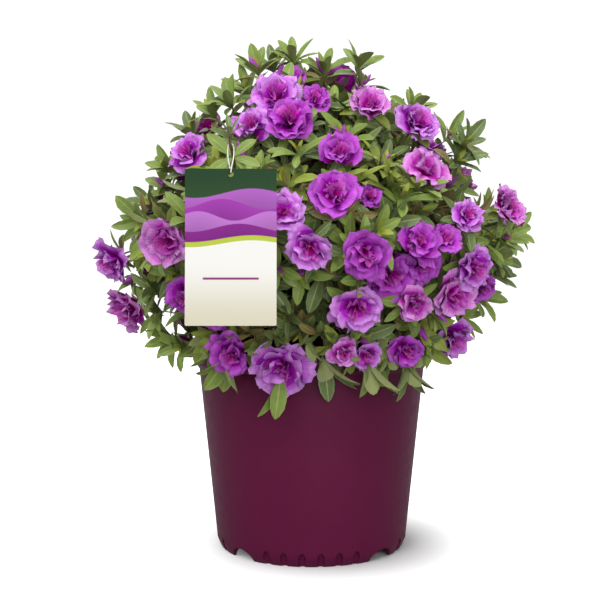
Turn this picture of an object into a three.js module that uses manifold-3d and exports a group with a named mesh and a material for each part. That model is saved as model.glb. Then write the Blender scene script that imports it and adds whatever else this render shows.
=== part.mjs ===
// An azalea shrub in full bloom, in its nursery pot, with a hang tag on one twig.
// Lengths are millimetres and angles are degrees. The pot stands on z = 0 and its axis is z.
// The front, where the tag hangs, is at -y. A bearing of 0 is the front and 90 is +x.

import * as THREE from "three";
import { mergeVertices } from "three/addons/utils/BufferGeometryUtils.js";
import Module from "manifold-3d";

const wasm = await Module();
wasm.setup();

// Pot
const POT_HEIGHT = 242;
const RIM_RADIUS = 138;
const RIM_BAND = 28;
const BAND_STEP = 3;
const LIP_ROUND = 1.5;
const WALL_FOOT_RADIUS = 113;
const FOOT_RADIUS = 109;
const FOOT_RING = 3.5;
const FOOT_CHAMFER = 10;
const WALL = 2.4;
const FLOOR_UNDERSIDE = 14;
const FLOOR_TOP = 17;
const CENTRE_FOOT_RADIUS = 20;
const FLOOR_DRAFT = 2.5;
const POT_SIDES = 44;
const ARCH_COUNT = 4;
const ARCH_WIDTH = 34;
const ARCH_HEIGHT = 12.5;
const ARCH_DEPTH = 30;
const ARCH_SIDES = 10;
const FLUTES_BETWEEN_ARCHES = 6;
const FLUTE_SPACING = 11.4;
const FLUTE_RADIUS = 3;
const FLUTE_HEIGHT = 15;
const FLUTE_SIDES = 4;
const FLUTE_SINK = 2.25;
const CUT_OVERLAP = 0.5;

// Potting mix, and the clearance that touching pieces keep
const MIX_TOP = 222;
const CLEARANCE = 0.35;

// Trunk: its radius at shares of its height, from the root flare up
const TRUNK_HEIGHT = 80;
const TRUNK_LEAN = 5;
const TRUNK_SWAY = 3;
const TRUNK_SIDES = 10;
const TRUNK_FOOT = MIX_TOP + CLEARANCE;
const TRUNK_TAPER = [[-0.05, 18], [0.1, 12.5], [0.35, 10.5], [0.7, 9.2], [1, 7.6]];

// Crown: its limbs fan out from a centre above the pot, and its leaves and petals reach an
// outline turned round the axis, a dome above the widest height and drawn in below it
const FAN_HEIGHT = 262;
const CROWN_TOP = 598;
const CROWN_HEM = 210;
const WIDEST_HEIGHT = 350;
const WIDEST_RADIUS = 258;
const DOME_POWER = 1.2;
const DOME_ROOT = 0.6;
const DRAW_IN = 0.0028;

// Masses of foliage, in rings from the top down: how many, the height of their middle on the
// outline, the bearing of the first, where on the trunk their boughs start, and how far each
// one reaches against the outline
const RINGS = [
  { name: "top", count: 1, height: 594, bearing: 0, trunkShare: 0.98, reach: [1] },
  { name: "upper", count: 5, height: 500, bearing: -20, trunkShare: 0.74,
    reach: [1, 1.02, 0.98, 1.03, 0.97] },
  { name: "middle", count: 7, height: 385, bearing: -24, trunkShare: 0.5,
    reach: [1, 0.99, 1.05, 0.97, 1.02, 0.98, 0.99] },
  { name: "low", count: 7, height: 246, bearing: -4, trunkShare: 0.26,
    reach: [1, 1.02, 1.03, 0.98, 1, 0.97, 1.02] },
];
const SECTOR_GAP = 0.8;

// Limbs
const BOUGH_FOOT_RADIUS = 3.5;
const BOUGH_TIP_RADIUS = 2.3;
const BOUGH_SIDES = 5;
const BOUGH_STEPS = 3;
const BOUGH_ARCH = 6;
const BOUGH_SHARE = 0.42;
const STEM_SHARE = 0.74;
const STEM_RADII = [2.2, 2.1, 1.6];
const STEM_SIDES = 4;
const TWIG_RADIUS = 1.7;
const TWIG_TIP_RADIUS = 1.2;
const TWIG_SIDES = 3;
const TWIG_SPREAD = 50;
const LOWEST_TWIG = 0.8;
const TWIG_BEND_SHARE = 0.35;
const RIM_CLEAR_RADIUS = 151;
const RIM_CLEAR_HEIGHT = 255;
const HANGING_NECK = 7;
const LIMB_MARGIN = 1;
const POT_MARGIN = 2;

// Leafy tips, set back from the outline, in an outer layer and a sparser inner one
const TIP_COUNT = 118;
const INNER_TIP_COUNT = 30;
const TIP_INSET = 20;
const INNER_INSET = 84;
const INSET_RANGE = 14;
const TIP_SPACING = 36;
const TIP_SHIFTS = [0, 0.1, 0.2, 0.3, 0.4, 0.5];
const LEAST_FROM_POT = 16;
const GOLDEN_ANGLE = 137.50776;
const WHORL_LEAVES = 5;
const WHORL_SPREAD = 66;
const COLLAR_LEAVES = 4;
const COLLAR_SPREAD = 84;
const SPREAD_RANGE = 18;
const TURN_RANGE = 8;
const WHORL_CORE = 2.4;
const WHORL_THICKNESS = 2.4;
const LEAF_LENGTH = 55;
const LEAF_WIDTH = 25;
const LEAF_FOLD = 0.1;
const LEAST_LEAF = 0.85;
const LEAF_RANGE = 0.3;
const SEED = 4711;
const SEED_STEP = 97;

// Blooms that face the front: across (x), height (z) and width
const FRONT_BLOOMS = [
  [-62, 474, 36], [-20, 476, 46], [-45, 515, 44], [6, 514, 36], [61, 498, 44], [113, 482, 50],
  [115, 422, 46], [29, 438, 42], [-127, 446, 44], [20, 391, 50], [-24, 371, 42], [-146, 341, 52],
  [-220, 331, 48], [-200, 276, 48], [-130, 287, 38], [0, 334, 46], [50, 331, 56], [42, 280, 56],
  [81, 306, 46], [99, 284, 38], [55, 238, 34], [30, 241, 30], [98, 237, 40], [-22, 226, 66],
  [-89, 236, 52], [158, 376, 40], [213, 393, 44], [119, 356, 34], [157, 325, 42], [121, 318, 32],
  [140, 290, 52], [157, 245, 46], [178, 301, 34], [-109, 260, 34],
];
const TURN_TO_VIEWER = 0.45;
const BLOOM_INSET = 6;

// Leafy tips that hang over the rim at the front: across (x) and height (z)
const HANGING_TIPS = [[-92, 214], [-40, 205], [12, 214], [66, 214], [112, 212]];
const HANGING_INSET = 20;
const HANGING_DROOP = 1.4;

// Blooms all round, of which those on the back half are kept
const ROUND_BLOOMS = 58;
const BACK_FROM_BEARING = 98;
const BACK_BLOOM_WIDTHS = [40, 46, 52];

// A bloom's shape, as shares of its width
const PETALS = 5;
const BLOOM_DEPTH = 0.36;
const BLOOM_NOTCH = { radius: 0.41, above: 0.07 };
const BLOOM_INNER = { radius: 0.2, above: 0.14 };
const BLOOM_HEART = 0.04;

// Hang tag and its tie, whose loop goes round a twig and through the tag's hole. The strands
// are spots on the way down from the twig: aside, away from the card, and above the lowest point.
const TAG = { across: -74, front: -255.3, low: 266, width: 84, height: 144, thickness: 0.6 };
const TAG_HOLE_RADIUS = 2.6;
const TAG_HOLE_BELOW_TOP = 5;
const TAG_MARGIN = 3;
const TAG_VIEW_DEPTH = 60;
const TAG_MASS = "middle_1";
const TAG_TWIG_RADIUS = 1.6;
const TIE_RADIUS = 0.6;
const TIE_DROP = 24;
const TIE_SLACK = 0.8;
const TIE_SIDES = 4;
const TIE_STEPS = 24;
const TIE_STRAND = [[2.55, 1.6, 13.2], [0.8, 2.1, 4], [0.3, 1.44, 0.9]];
const TIE_ROOM = { across: 12, deep: 30, above: 6 };

const SMALLEST_EDGE = 0.15;
const MERGE_DISTANCE = 1e-3;

const materials = {
  pot: new THREE.MeshStandardMaterial({ color: 0x571b3b, roughness: 0.42, metalness: 0 }),
  mix: new THREE.MeshStandardMaterial({ color: 0x33261c, roughness: 0.95, metalness: 0 }),
  bark: new THREE.MeshStandardMaterial({ color: 0x6b5138, roughness: 0.85, metalness: 0 }),
  foliage: new THREE.MeshStandardMaterial({ color: 0x5c7a35, roughness: 0.6, metalness: 0 }),
  tag: new THREE.MeshStandardMaterial({ color: 0xf1ece0, roughness: 0.35, metalness: 0 }),
  tie: new THREE.MeshStandardMaterial({ color: 0xf4f4f2, roughness: 0.5, metalness: 0 }),
};

const radians = THREE.MathUtils.degToRad;
const degrees = THREE.MathUtils.radToDeg;
const vector = (x, y, z) => new THREE.Vector3(x, y, z);

// The same draws every time: a linear congruential generator
function seededDraws(seed) {
  let state = seed >>> 0;
  return () => {
    state = (Math.imul(state, 1664525) + 1013904223) >>> 0;
    return state / 4294967296;
  };
}

// Solids

function solidOfFaces(points, faces) {
  return new wasm.Manifold(new wasm.Mesh({
    numProp: 3,
    vertProperties: new Float32Array(points.flatMap((point) => point.toArray())),
    triVerts: new Uint32Array(faces.flat()),
  }));
}

function solidOfGeometry(geometry) {
  geometry.deleteAttribute("normal");
  geometry.deleteAttribute("uv");
  const merged = mergeVertices(geometry, MERGE_DISTANCE);
  return new wasm.Manifold(new wasm.Mesh({
    numProp: 3,
    vertProperties: merged.attributes.position.array,
    triVerts: new Uint32Array(merged.index.array),
  }));
}

function turnedSolid(profile, sides) {
  const outline = profile.map(([radius, height]) => new THREE.Vector2(radius, height));
  return solidOfGeometry(new THREE.LatheGeometry(outline, sides).rotateX(Math.PI / 2));
}

function boxSolid(size, middle) {
  return solidOfGeometry(new THREE.BoxGeometry(...size).translate(...middle));
}

// A closed surface through rings of points that all go round the same way. The first and last
// are capped unless they are single points. Between two rings the faces step round by turn.
function stackSolid(rings) {
  const points = rings.flatMap((ring) => ring.points);
  const faces = [];
  const nextTurn = (turns, k) => (k + 1 < turns.length ? turns[k + 1] : 360 + turns[0]);
  const lastCount = rings[rings.length - 1].points.length;
  const last = points.length - lastCount;
  for (let k = 1; k < rings[0].points.length - 1; k++) faces.push([0, k + 1, k]);
  for (let k = 1; k < lastCount - 1; k++) faces.push([last, last + k, last + k + 1]);
  let first = 0;
  for (let level = 1; level < rings.length; level++) {
    const low = rings[level - 1].turns;
    const high = rings[level].turns;
    const firstHigh = first + low.length;
    let i = 0;
    let j = high.length > 1 ? 0 : 1;
    while (i < low.length || j < high.length) {
      const a = first + (i % low.length);
      const b = firstHigh + (j % high.length);
      if (i < low.length && (j >= high.length || nextTurn(low, i) <= nextTurn(high, j))) {
        faces.push([a, first + ((i + 1) % low.length), b]);
        i++;
      } else {
        faces.push([a, firstHigh + ((j + 1) % high.length), b]);
        j++;
      }
    }
    first = firstHigh;
  }
  return solidOfFaces(points, faces);
}

// Frames: places in them are a turn round the axis, a radius and a height along it

function squareTo(axis, turn) {
  const other = Math.abs(axis.z) < 0.9 ? vector(0, 0, 1) : vector(1, 0, 0);
  return axis.clone().cross(other).normalize().applyAxisAngle(axis, radians(turn));
}

function frameOf(origin, axis, across) {
  return { origin, axis, across, up: axis.clone().cross(across) };
}

function place(frame, [turn, radius, height]) {
  return frame.origin.clone()
    .addScaledVector(frame.across, radius * Math.cos(radians(turn)))
    .addScaledVector(frame.up, radius * Math.sin(radians(turn)))
    .addScaledVector(frame.axis, height);
}

function placedRing(frame, ring) {
  const inTurn = ring.map(([turn, ...rest]) => [(turn + 360) % 360, ...rest]).sort((a, b) => a[0] - b[0]);
  return { turns: inTurn.map(([turn]) => turn), points: inTurn.map((spot) => place(frame, spot)) };
}

function evenRing(sides, radius, height) {
  return Array.from({ length: sides }, (_, k) => [(360 / sides) * (k + 0.5), radius, height]);
}

// A ring for each point of a path, each square to the path, keeping the end frame's turns
function ringsAlong(path, radii, sides, endFrame, endHeight = 0) {
  const last = path.length - 1;
  return path.map((point, i) => {
    const along = path[Math.min(i + 1, last)].clone().sub(path[Math.max(i - 1, 0)]).normalize();
    const axis = i === last ? endFrame.axis : along;
    const across = endFrame.across.clone().addScaledVector(axis, -endFrame.across.dot(axis)).normalize();
    return placedRing(frameOf(point, axis, across), evenRing(sides, radii[i], i === last ? endHeight : 0));
  });
}

function taperingLimb(path, radii, sides) {
  const last = path.length - 1;
  const axis = path[last].clone().sub(path[last - 1]).normalize();
  return stackSolid(ringsAlong(path, radii, sides, frameOf(path[last], axis, squareTo(axis, 0))));
}

function evenTaper(from, to, count) {
  return Array.from({ length: count }, (_, i) => from + ((to - from) * i) / (count - 1));
}

// The largest body of a fused solid, without loose scraps
function oneBody(solid) {
  return solid.decompose().reduce((best, body) => (body.volume() > best.volume() ? body : best));
}

function meshOf(name, solid, material) {
  const { vertProperties, triVerts } = solid.getMesh();
  const geometry = new THREE.BufferGeometry()
    .setAttribute("position", new THREE.BufferAttribute(vertProperties, 3))
    .setIndex(new THREE.BufferAttribute(triVerts, 1));
  geometry.computeVertexNormals();
  const mesh = new THREE.Mesh(geometry, material);
  mesh.name = name;
  return mesh;
}

// Pot and potting mix

const bandBottom = POT_HEIGHT - RIM_BAND;
const wallTopRadius = RIM_RADIUS - BAND_STEP;
const mixFoot = FLOOR_TOP + CLEARANCE;

function wallRadius(height) {
  const share = (height - FOOT_CHAMFER) / (bandBottom - FOOT_CHAMFER);
  return WALL_FOOT_RADIUS + (wallTopRadius - WALL_FOOT_RADIUS) * share;
}

function potRadius(height) {
  return height > bandBottom - BAND_STEP ? RIM_RADIUS : wallRadius(height);
}

function potShell() {
  const footInner = FOOT_RADIUS - FOOT_RING;
  const rimInner = RIM_RADIUS - WALL - LIP_ROUND;
  return turnedSolid([
    [0, 0],
    [CENTRE_FOOT_RADIUS, 0],
    [CENTRE_FOOT_RADIUS + FLOOR_DRAFT, FLOOR_UNDERSIDE],
    [footInner - FLOOR_DRAFT, FLOOR_UNDERSIDE],
    [footInner, 0],
    [FOOT_RADIUS, 0],
    [WALL_FOOT_RADIUS, FOOT_CHAMFER],
    [wallRadius(bandBottom - BAND_STEP), bandBottom - BAND_STEP],
    [RIM_RADIUS, bandBottom],
    [RIM_RADIUS, POT_HEIGHT - LIP_ROUND],
    [RIM_RADIUS - LIP_ROUND, POT_HEIGHT],
    [rimInner, POT_HEIGHT],
    [rimInner, bandBottom],
    [wallRadius(bandBottom) - WALL, bandBottom - BAND_STEP],
    [wallRadius(FLOOR_TOP) - WALL, FLOOR_TOP],
    [0, FLOOR_TOP],
  ], POT_SIDES);
}

// Drain arches through the foot, each between two rows of upright flutes
function potCuts() {
  const archSpacing = 360 / ARCH_COUNT;
  const cuts = [];
  for (let arch = 0; arch < ARCH_COUNT; arch++) {
    const middle = archSpacing * (arch + 0.5);
    cuts.push(new THREE.CylinderGeometry(1, 1, ARCH_DEPTH, ARCH_SIDES)
      .scale(ARCH_WIDTH / 2, 1, ARCH_HEIGHT)
      .translate(0, FOOT_RADIUS, 0)
      .rotateZ(radians(middle)));
    for (let k = 0; k < FLUTES_BETWEEN_ARCHES; k++) {
      const offset = (k - (FLUTES_BETWEEN_ARCHES - 1) / 2) * FLUTE_SPACING;
      cuts.push(new THREE.ConeGeometry(FLUTE_RADIUS, FLUTE_HEIGHT, FLUTE_SIDES)
        .rotateX(Math.PI / 2)
        .translate(0, FOOT_RADIUS + FLUTE_SINK, FLUTE_HEIGHT / 2 - CUT_OVERLAP)
        .rotateZ(radians(middle + archSpacing / 2 + offset)));
    }
  }
  return wasm.Manifold.union(cuts.map(solidOfGeometry));
}

function makePot() {
  return oneBody(potShell().subtract(potCuts()));
}

// The plug of mix, from its own underside up
function makePottingMix() {
  return turnedSolid([
    [0, 0],
    [wallRadius(FLOOR_TOP) - WALL - 2 * CLEARANCE, 0],
    [wallRadius(bandBottom) - WALL - 2 * CLEARANCE, bandBottom - BAND_STEP - mixFoot],
    [wallRadius(bandBottom) - WALL - CLEARANCE, MIX_TOP - mixFoot],
    [0, MIX_TOP - mixFoot],
  ], POT_SIDES);
}

// Trunk

function trunkPoint(share) {
  const sway = TRUNK_SWAY * Math.sin(share * Math.PI);
  return vector(TRUNK_LEAN * share * share, -sway, TRUNK_FOOT + TRUNK_HEIGHT * share);
}

function trunkSolid(margin = 0) {
  const points = TRUNK_TAPER.map(([share]) => trunkPoint(share));
  const radii = TRUNK_TAPER.map(([, radius]) => radius + margin);
  return taperingLimb(points, radii, TRUNK_SIDES).trimByPlane([0, 0, 1], TRUNK_FOOT);
}

// Crown outline

const fanCentre = vector(0, 0, FAN_HEIGHT);

function outlineRadius(height) {
  if (height >= CROWN_TOP) return 0;
  if (height < WIDEST_HEIGHT) return WIDEST_RADIUS * (1 - (WIDEST_HEIGHT - height) * DRAW_IN);
  const rise = (height - WIDEST_HEIGHT) / (CROWN_TOP - WIDEST_HEIGHT);
  return WIDEST_RADIUS * (1 - rise ** DOME_POWER) ** DOME_ROOT;
}

function atBearing(bearing, radius, height) {
  const turn = radians(bearing);
  return vector(Math.sin(turn) * radius, -Math.cos(turn) * radius, height);
}

function outlineNormal(bearing, height) {
  const step = 4;
  const run = outlineRadius(height + step) - outlineRadius(height - step);
  return atBearing(bearing, 2 * step, -run).normalize();
}

// Masses: each owns the directions from the fan centre that are nearest to its own

const masses = RINGS.flatMap((ring) => ring.reach.map((reach, i) => {
  const bearing = ring.bearing + (360 / ring.count) * i;
  const middle = atBearing(bearing, outlineRadius(ring.height), ring.height);
  return {
    name: ring.count === 1 ? ring.name : `${ring.name}_${i + 1}`,
    trunkShare: ring.trunkShare,
    reach,
    length: middle.distanceTo(fanCentre),
    direction: middle.clone().sub(fanCentre).normalize(),
    tips: [],
  };
}));

function ownerOf(point) {
  const direction = point.clone().sub(fanCentre).normalize();
  return masses.reduce((best, mass) =>
    (mass.direction.dot(direction) > best.direction.dot(direction) ? mass : best));
}

// A sector is convex, so a shape whose corners are all in it is in it as a whole
function inSector(points, mass, margin) {
  return masses.every((other) => {
    if (other === mass) return true;
    const across = mass.direction.clone().sub(other.direction).normalize();
    return points.every((point) => point.clone().sub(fanCentre).dot(across) > margin);
  });
}

// Tips: where twigs end, evenly over the crown, in a golden spiral by equal areas

function spiralSpots(count) {
  const slices = 80;
  const step = (CROWN_TOP - CROWN_HEM) / slices;
  const total = [0];
  for (let i = 0; i < slices; i++) {
    const low = CROWN_HEM + step * i;
    const slope = outlineRadius(low + step) - outlineRadius(low);
    total.push(total[i] + outlineRadius(low + step / 2) * Math.hypot(step, slope));
  }
  return Array.from({ length: count }, (_, k) => {
    const area = total[slices] * (k + 0.5) / count;
    const slice = total.findIndex((sum) => sum > area) - 1;
    const part = (area - total[slice]) / (total[slice + 1] - total[slice]);
    return { bearing: (k * GOLDEN_ANGLE) % 360, height: CROWN_HEM + step * (slice + part) };
  });
}

// A spot set back from the crown's outline, and never inside the pot
function crownPoint(bearing, height, inset) {
  const { reach } = ownerOf(atBearing(bearing, outlineRadius(height), height));
  const point = atBearing(bearing, outlineRadius(height) * reach, height)
    .addScaledVector(outlineNormal(bearing, height), -inset);
  const least = point.z < RIM_CLEAR_HEIGHT ? potRadius(point.z) + LEAST_FROM_POT : 0;
  return atBearing(bearing, Math.max(Math.hypot(point.x, point.y), least), point.z);
}

function addBloomTips() {
  const spots = FRONT_BLOOMS.map(([across, height, width]) => {
    const bearing = degrees(Math.asin(across / outlineRadius(height)));
    return { bearing, height, width, toViewer: TURN_TO_VIEWER };
  });
  spiralSpots(ROUND_BLOOMS).forEach(({ bearing, height }, k) => {
    const fromFront = Math.min(bearing, 360 - bearing);
    if (fromFront < BACK_FROM_BEARING) return;
    spots.push({ bearing, height, width: BACK_BLOOM_WIDTHS[k % BACK_BLOOM_WIDTHS.length], toViewer: 0 });
  });
  for (const { bearing, height, width, toViewer } of spots) {
    const point = crownPoint(bearing, height, BLOOM_INSET);
    const facing = outlineNormal(bearing, height).add(vector(0, -toViewer, 0)).normalize();
    ownerOf(point).tips.push({ point, facing, width });
  }
}

function addHangingTips() {
  for (const [across, height] of HANGING_TIPS) {
    const bearing = degrees(Math.asin(across / outlineRadius(height)));
    const point = crownPoint(bearing, height, HANGING_INSET);
    ownerOf(point).tips.push({ point, facing: atBearing(bearing, 1, -HANGING_DROOP).normalize(), width: 0 });
  }
}

function addLeafyTips(count, inset, spacing) {
  const draw = seededDraws(SEED + count);
  for (const { bearing, height } of spiralSpots(count)) {
    const point = crownPoint(bearing, height, inset + INSET_RANGE * draw());
    const taken = masses.some((mass) =>
      mass.tips.some((tip) => tip.width && tip.point.distanceTo(point) < spacing));
    const facing = outlineNormal(bearing, height);
    if (!taken) ownerOf(point).tips.push({ point, facing, width: 0 });
  }
}

// Boughs and stems

function stemPoint(mass, share) {
  return fanCentre.clone().addScaledVector(mass.direction, mass.length * share);
}

function boughPath(mass) {
  const start = trunkPoint(mass.trunkShare);
  const end = stemPoint(mass, BOUGH_SHARE);
  const control = start.clone().lerp(end, 0.5);
  control.z += BOUGH_ARCH * (1 - Math.abs(mass.direction.z));
  return new THREE.QuadraticBezierCurve3(start, control, end).getPoints(BOUGH_STEPS);
}

function boughSolid(mass, margin = 0) {
  const path = boughPath(mass);
  const radii = evenTaper(BOUGH_FOOT_RADIUS + margin, BOUGH_TIP_RADIUS + margin, path.length);
  return taperingLimb(path, radii, BOUGH_SIDES);
}

function makeBough(mass) {
  return oneBody(boughSolid(mass).subtract(trunkSolid(CLEARANCE)));
}

// A mass's stem goes on from its bough's tip, a little clear of it
function stemSolid(mass) {
  const [beforeTip, tip] = boughPath(mass).slice(-2);
  const along = tip.clone().sub(beforeTip).normalize();
  const foot = tip.clone().addScaledVector(along, CLEARANCE);
  const path = [foot, stemPoint(mass, (BOUGH_SHARE + STEM_SHARE) / 2), stemPoint(mass, STEM_SHARE)];
  const solid = taperingLimb(path, STEM_RADII, STEM_SIDES);
  return solid.trimByPlane(along.toArray(), foot.dot(along));
}

// Twigs end along the axis of the whorl or bloom that they carry. Those that hang below the
// fan centre go over the pot's rim first.
function twigPath(mass, end, axis) {
  const offAxis = degrees(end.clone().sub(fanCentre).angleTo(mass.direction));
  const share = STEM_SHARE - (STEM_SHARE - BOUGH_SHARE) * Math.min(LOWEST_TWIG, offAxis / TWIG_SPREAD);
  const start = stemPoint(mass, share);
  if (end.z > RIM_CLEAR_HEIGHT) {
    const bend = end.clone().addScaledVector(axis, -TWIG_BEND_SHARE * start.distanceTo(end));
    return [start, bend, end];
  }
  const over = end.clone().setZ(0).setLength(RIM_CLEAR_RADIUS).setZ(RIM_CLEAR_HEIGHT);
  return [start, over, end.clone().addScaledVector(axis, -HANGING_NECK), end];
}

// What foliage keeps clear of: the pot, the limbs, the tag with the view of it, and its tie
function makeKeepOut() {
  const pot = turnedSolid([
    [0, 0],
    [WALL_FOOT_RADIUS + POT_MARGIN, 0],
    [wallTopRadius + POT_MARGIN, bandBottom - BAND_STEP - POT_MARGIN],
    [RIM_RADIUS + POT_MARGIN, bandBottom - POT_MARGIN],
    [RIM_RADIUS + POT_MARGIN, POT_HEIGHT + POT_MARGIN],
    [0, POT_HEIGHT + POT_MARGIN],
  ], POT_SIDES);
  const card = boxSolid(
    [TAG.width + 2 * TAG_MARGIN, TAG_VIEW_DEPTH, TAG.height + 2 * TAG_MARGIN],
    [TAG.across, TAG.front + TAG.thickness + TAG_MARGIN - TAG_VIEW_DEPTH / 2, TAG.low + TAG.height / 2],
  );
  const tie = boxSolid(
    [TIE_ROOM.across, TIE_ROOM.deep, TIE_DROP + 2 * TIE_ROOM.above],
    [TAG.across, TAG.front, tieLowest + TIE_DROP / 2],
  );
  const limbs = masses.map((mass) => boughSolid(mass, LIMB_MARGIN));
  return wasm.Manifold.union([pot, card, tie, trunkSolid(LIMB_MARGIN), ...limbs]);
}

function isFree(solid, points, mass, margin, others = []) {
  return inSector(points, mass, margin)
    && [keepOut, ...others].every((other) => solid.intersect(other).isEmpty());
}

// Leaves

// The three outer corners of a folded leaf: shoulder, tip, shoulder
function leafCorners(turn, lean, scale) {
  const length = LEAF_LENGTH * scale;
  const halfWidth = (LEAF_WIDTH * scale) / 2;
  const fold = LEAF_FOLD * length;
  const out = 0.5 * length * Math.sin(lean) - fold * Math.cos(lean);
  const high = 0.5 * length * Math.cos(lean) + fold * Math.sin(lean);
  const aside = degrees(Math.atan2(halfWidth, out));
  const radius = Math.hypot(halfWidth, out);
  return [
    [turn - aside, radius, high],
    [turn, length * Math.sin(lean), length * Math.cos(lean)],
    [turn + aside, radius, high],
  ];
}

// A whorl's rim runs from the notch between two leaves out along each leaf and back. A leaf that
// would leave the mass's sector, or run into a limb, a bloom or another leaf, is left out.
function whorlRim(mass, frame, count, spread, draw, grown) {
  const halfThickness = WHORL_THICKNESS / 2;
  const bladeFaces = [[0, 2, 3], [0, 3, 4], [1, 3, 2], [1, 4, 3], [0, 4, 1], [0, 1, 2]];
  const rim = [];
  for (let k = 0; k < count; k++) {
    const turn = (360 / count) * (k + 0.5) + TURN_RANGE * (draw() - 0.5);
    const lean = radians(spread + SPREAD_RANGE * (draw() - 0.5));
    const leaf = leafCorners(turn, lean, LEAST_LEAF + LEAF_RANGE * draw());
    const root = [[turn, WHORL_CORE, halfThickness], [turn, WHORL_CORE, -halfThickness]];
    const corners = [...root, ...leaf].map((spot) => place(frame, spot));
    const blade = solidOfFaces(corners, bladeFaces);
    rim.push([(360 / count) * k, WHORL_CORE, 0]);
    if (!isFree(blade, corners, mass, SECTOR_GAP, grown)) continue;
    grown.push(blade);
    rim.push(...leaf);
  }
  return rim;
}

// Blooms: a funnel opens to a ruffled rim, with a ring of inner petals round its heart

function bloomRings(width) {
  const depth = BLOOM_DEPTH * width;
  const rim = [];
  const inner = [];
  for (let k = 0; k < PETALS; k++) {
    const turn = (360 / PETALS) * k;
    rim.push([turn, 0.5 * width, depth]);
    rim.push([turn + 180 / PETALS, BLOOM_NOTCH.radius * width, depth + BLOOM_NOTCH.above * width]);
    inner.push([turn, BLOOM_INNER.radius * width, depth + BLOOM_INNER.above * width]);
  }
  return [rim, inner, [[0, 0, depth + BLOOM_HEART * width]]];
}

const neckRing = evenRing(TWIG_SIDES, TWIG_TIP_RADIUS, WHORL_THICKNESS / 2);

// Masses of foliage: a stem, its twigs, and the leaves and blooms on them, fused

// A tip that would leave its sector or run into something moves towards the mass's middle, and
// one that fits nowhere is left out
function growTip(mass, { point, facing, width }, turn, grown) {
  const middle = fanCentre.clone().addScaledVector(mass.direction, point.distanceTo(fanCentre));
  for (const share of TIP_SHIFTS) {
    const spot = point.clone().lerp(middle, share).addScaledVector(facing, -BLOOM_DEPTH * width);
    const frame = frameOf(spot, facing, squareTo(facing, turn));
    const path = twigPath(mass, spot, facing);
    const twig = taperingLimb(path, path.map(() => TWIG_RADIUS), TWIG_SIDES);
    if (!isFree(twig, path.slice(1), mass, SECTOR_GAP + TWIG_RADIUS)) continue;
    if (width) {
      const cup = [neckRing, ...bloomRings(width)].map((ring) => placedRing(frame, ring));
      const bloom = stackSolid(cup);
      if (!isFree(bloom, cup.flatMap((ring) => ring.points), mass, SECTOR_GAP, grown)) continue;
      grown.push(bloom);
    }
    grown.push(twig);
    return [{ path, frame, twig, width }];
  }
  return [];
}

function makeFoliage(mass, index) {
  const draw = seededDraws(SEED + SEED_STEP * (index + 1));
  const grown = [];
  const tips = mass.tips.flatMap((tip) => growTip(mass, tip, 120 * draw(), grown));
  const solids = tips.map(({ path, frame, twig, width }) => {
    const others = grown.filter((solid) => solid !== twig);
    const known = others.length;
    const [count, spread] = width ? [COLLAR_LEAVES, COLLAR_SPREAD] : [WHORL_LEAVES, WHORL_SPREAD];
    const rim = whorlRim(mass, frame, count, spread, draw, others);
    grown.push(...others.slice(known));
    const above = width ? [neckRing, ...bloomRings(width)] : [[[0, 0, WHORL_THICKNESS / 2]]];
    const radii = evenTaper(TWIG_RADIUS, TWIG_TIP_RADIUS, path.length);
    return stackSolid([
      ...ringsAlong(path, radii, TWIG_SIDES, frame, -WHORL_THICKNESS / 2),
      ...[rim, ...above].map((ring) => placedRing(frame, ring)),
    ]);
  });
  if (mass.name === TAG_MASS) solids.push(tagTwig(mass));
  return oneBody(wasm.Manifold.union([stemSolid(mass), ...solids]).simplify(SMALLEST_EDGE));
}

// Tag, its tie, and the twig that carries them

const holeHeight = TAG.low + TAG.height - TAG_HOLE_BELOW_TOP;
const tieLowest = holeHeight + TAG_HOLE_RADIUS - TIE_RADIUS - TIE_SLACK;
const tieTurnRadius = TAG_TWIG_RADIUS + TIE_RADIUS + CLEARANCE;
const tieTwigHeight = tieLowest + TIE_DROP;

function tagTwig(mass) {
  const path = [
    stemPoint(mass, STEM_SHARE),
    vector(TAG.across, TAG.front + TIE_ROOM.deep, tieTwigHeight),
    vector(TAG.across, TAG.front - TIE_ROOM.above, tieTwigHeight),
  ];
  return taperingLimb(path, path.map(() => TAG_TWIG_RADIUS), STEM_SIDES);
}

// The card, from the middle of its lower front edge
function makeTag() {
  const card = new THREE.Shape()
    .moveTo(-TAG.width / 2, 0)
    .lineTo(TAG.width / 2, 0)
    .lineTo(TAG.width / 2, TAG.height)
    .lineTo(-TAG.width / 2, TAG.height);
  const holeMiddle = [0, TAG.height - TAG_HOLE_BELOW_TOP];
  card.holes.push(new THREE.Path().absarc(...holeMiddle, TAG_HOLE_RADIUS, 0, 2 * Math.PI, true));
  const sheet = { depth: TAG.thickness, bevelEnabled: false, curveSegments: 6 };
  return solidOfGeometry(new THREE.ExtrudeGeometry(card, sheet)
    .rotateX(Math.PI / 2)
    .translate(0, TAG.thickness, 0));
}

// The loop turns over the twig. One strand comes down behind the card and one in front, and
// they meet in its hole.
function makeTie() {
  const over = Array.from({ length: 5 }, (_, k) => {
    const turn = (Math.PI * k) / 4;
    return [tieTurnRadius * Math.cos(turn), 0, TIE_DROP + tieTurnRadius * Math.sin(turn)];
  });
  const strand = (side) => TIE_STRAND.map(([aside, away, above]) => [-side * aside, side * away, above]);
  const loop = [[0, 0, 0], ...strand(-1).reverse(), ...over, ...strand(1)];
  const route = new THREE.CatmullRomCurve3(loop.map((spot) => vector(...spot)), true);
  return solidOfGeometry(new THREE.TubeGeometry(route, TIE_STEPS, TIE_RADIUS, TIE_SIDES, true));
}

// The shrub, from the pot up

addBloomTips();
addHangingTips();
addLeafyTips(TIP_COUNT, TIP_INSET, TIP_SPACING);
addLeafyTips(INNER_TIP_COUNT, INNER_INSET, 0);
const keepOut = makeKeepOut();

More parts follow.
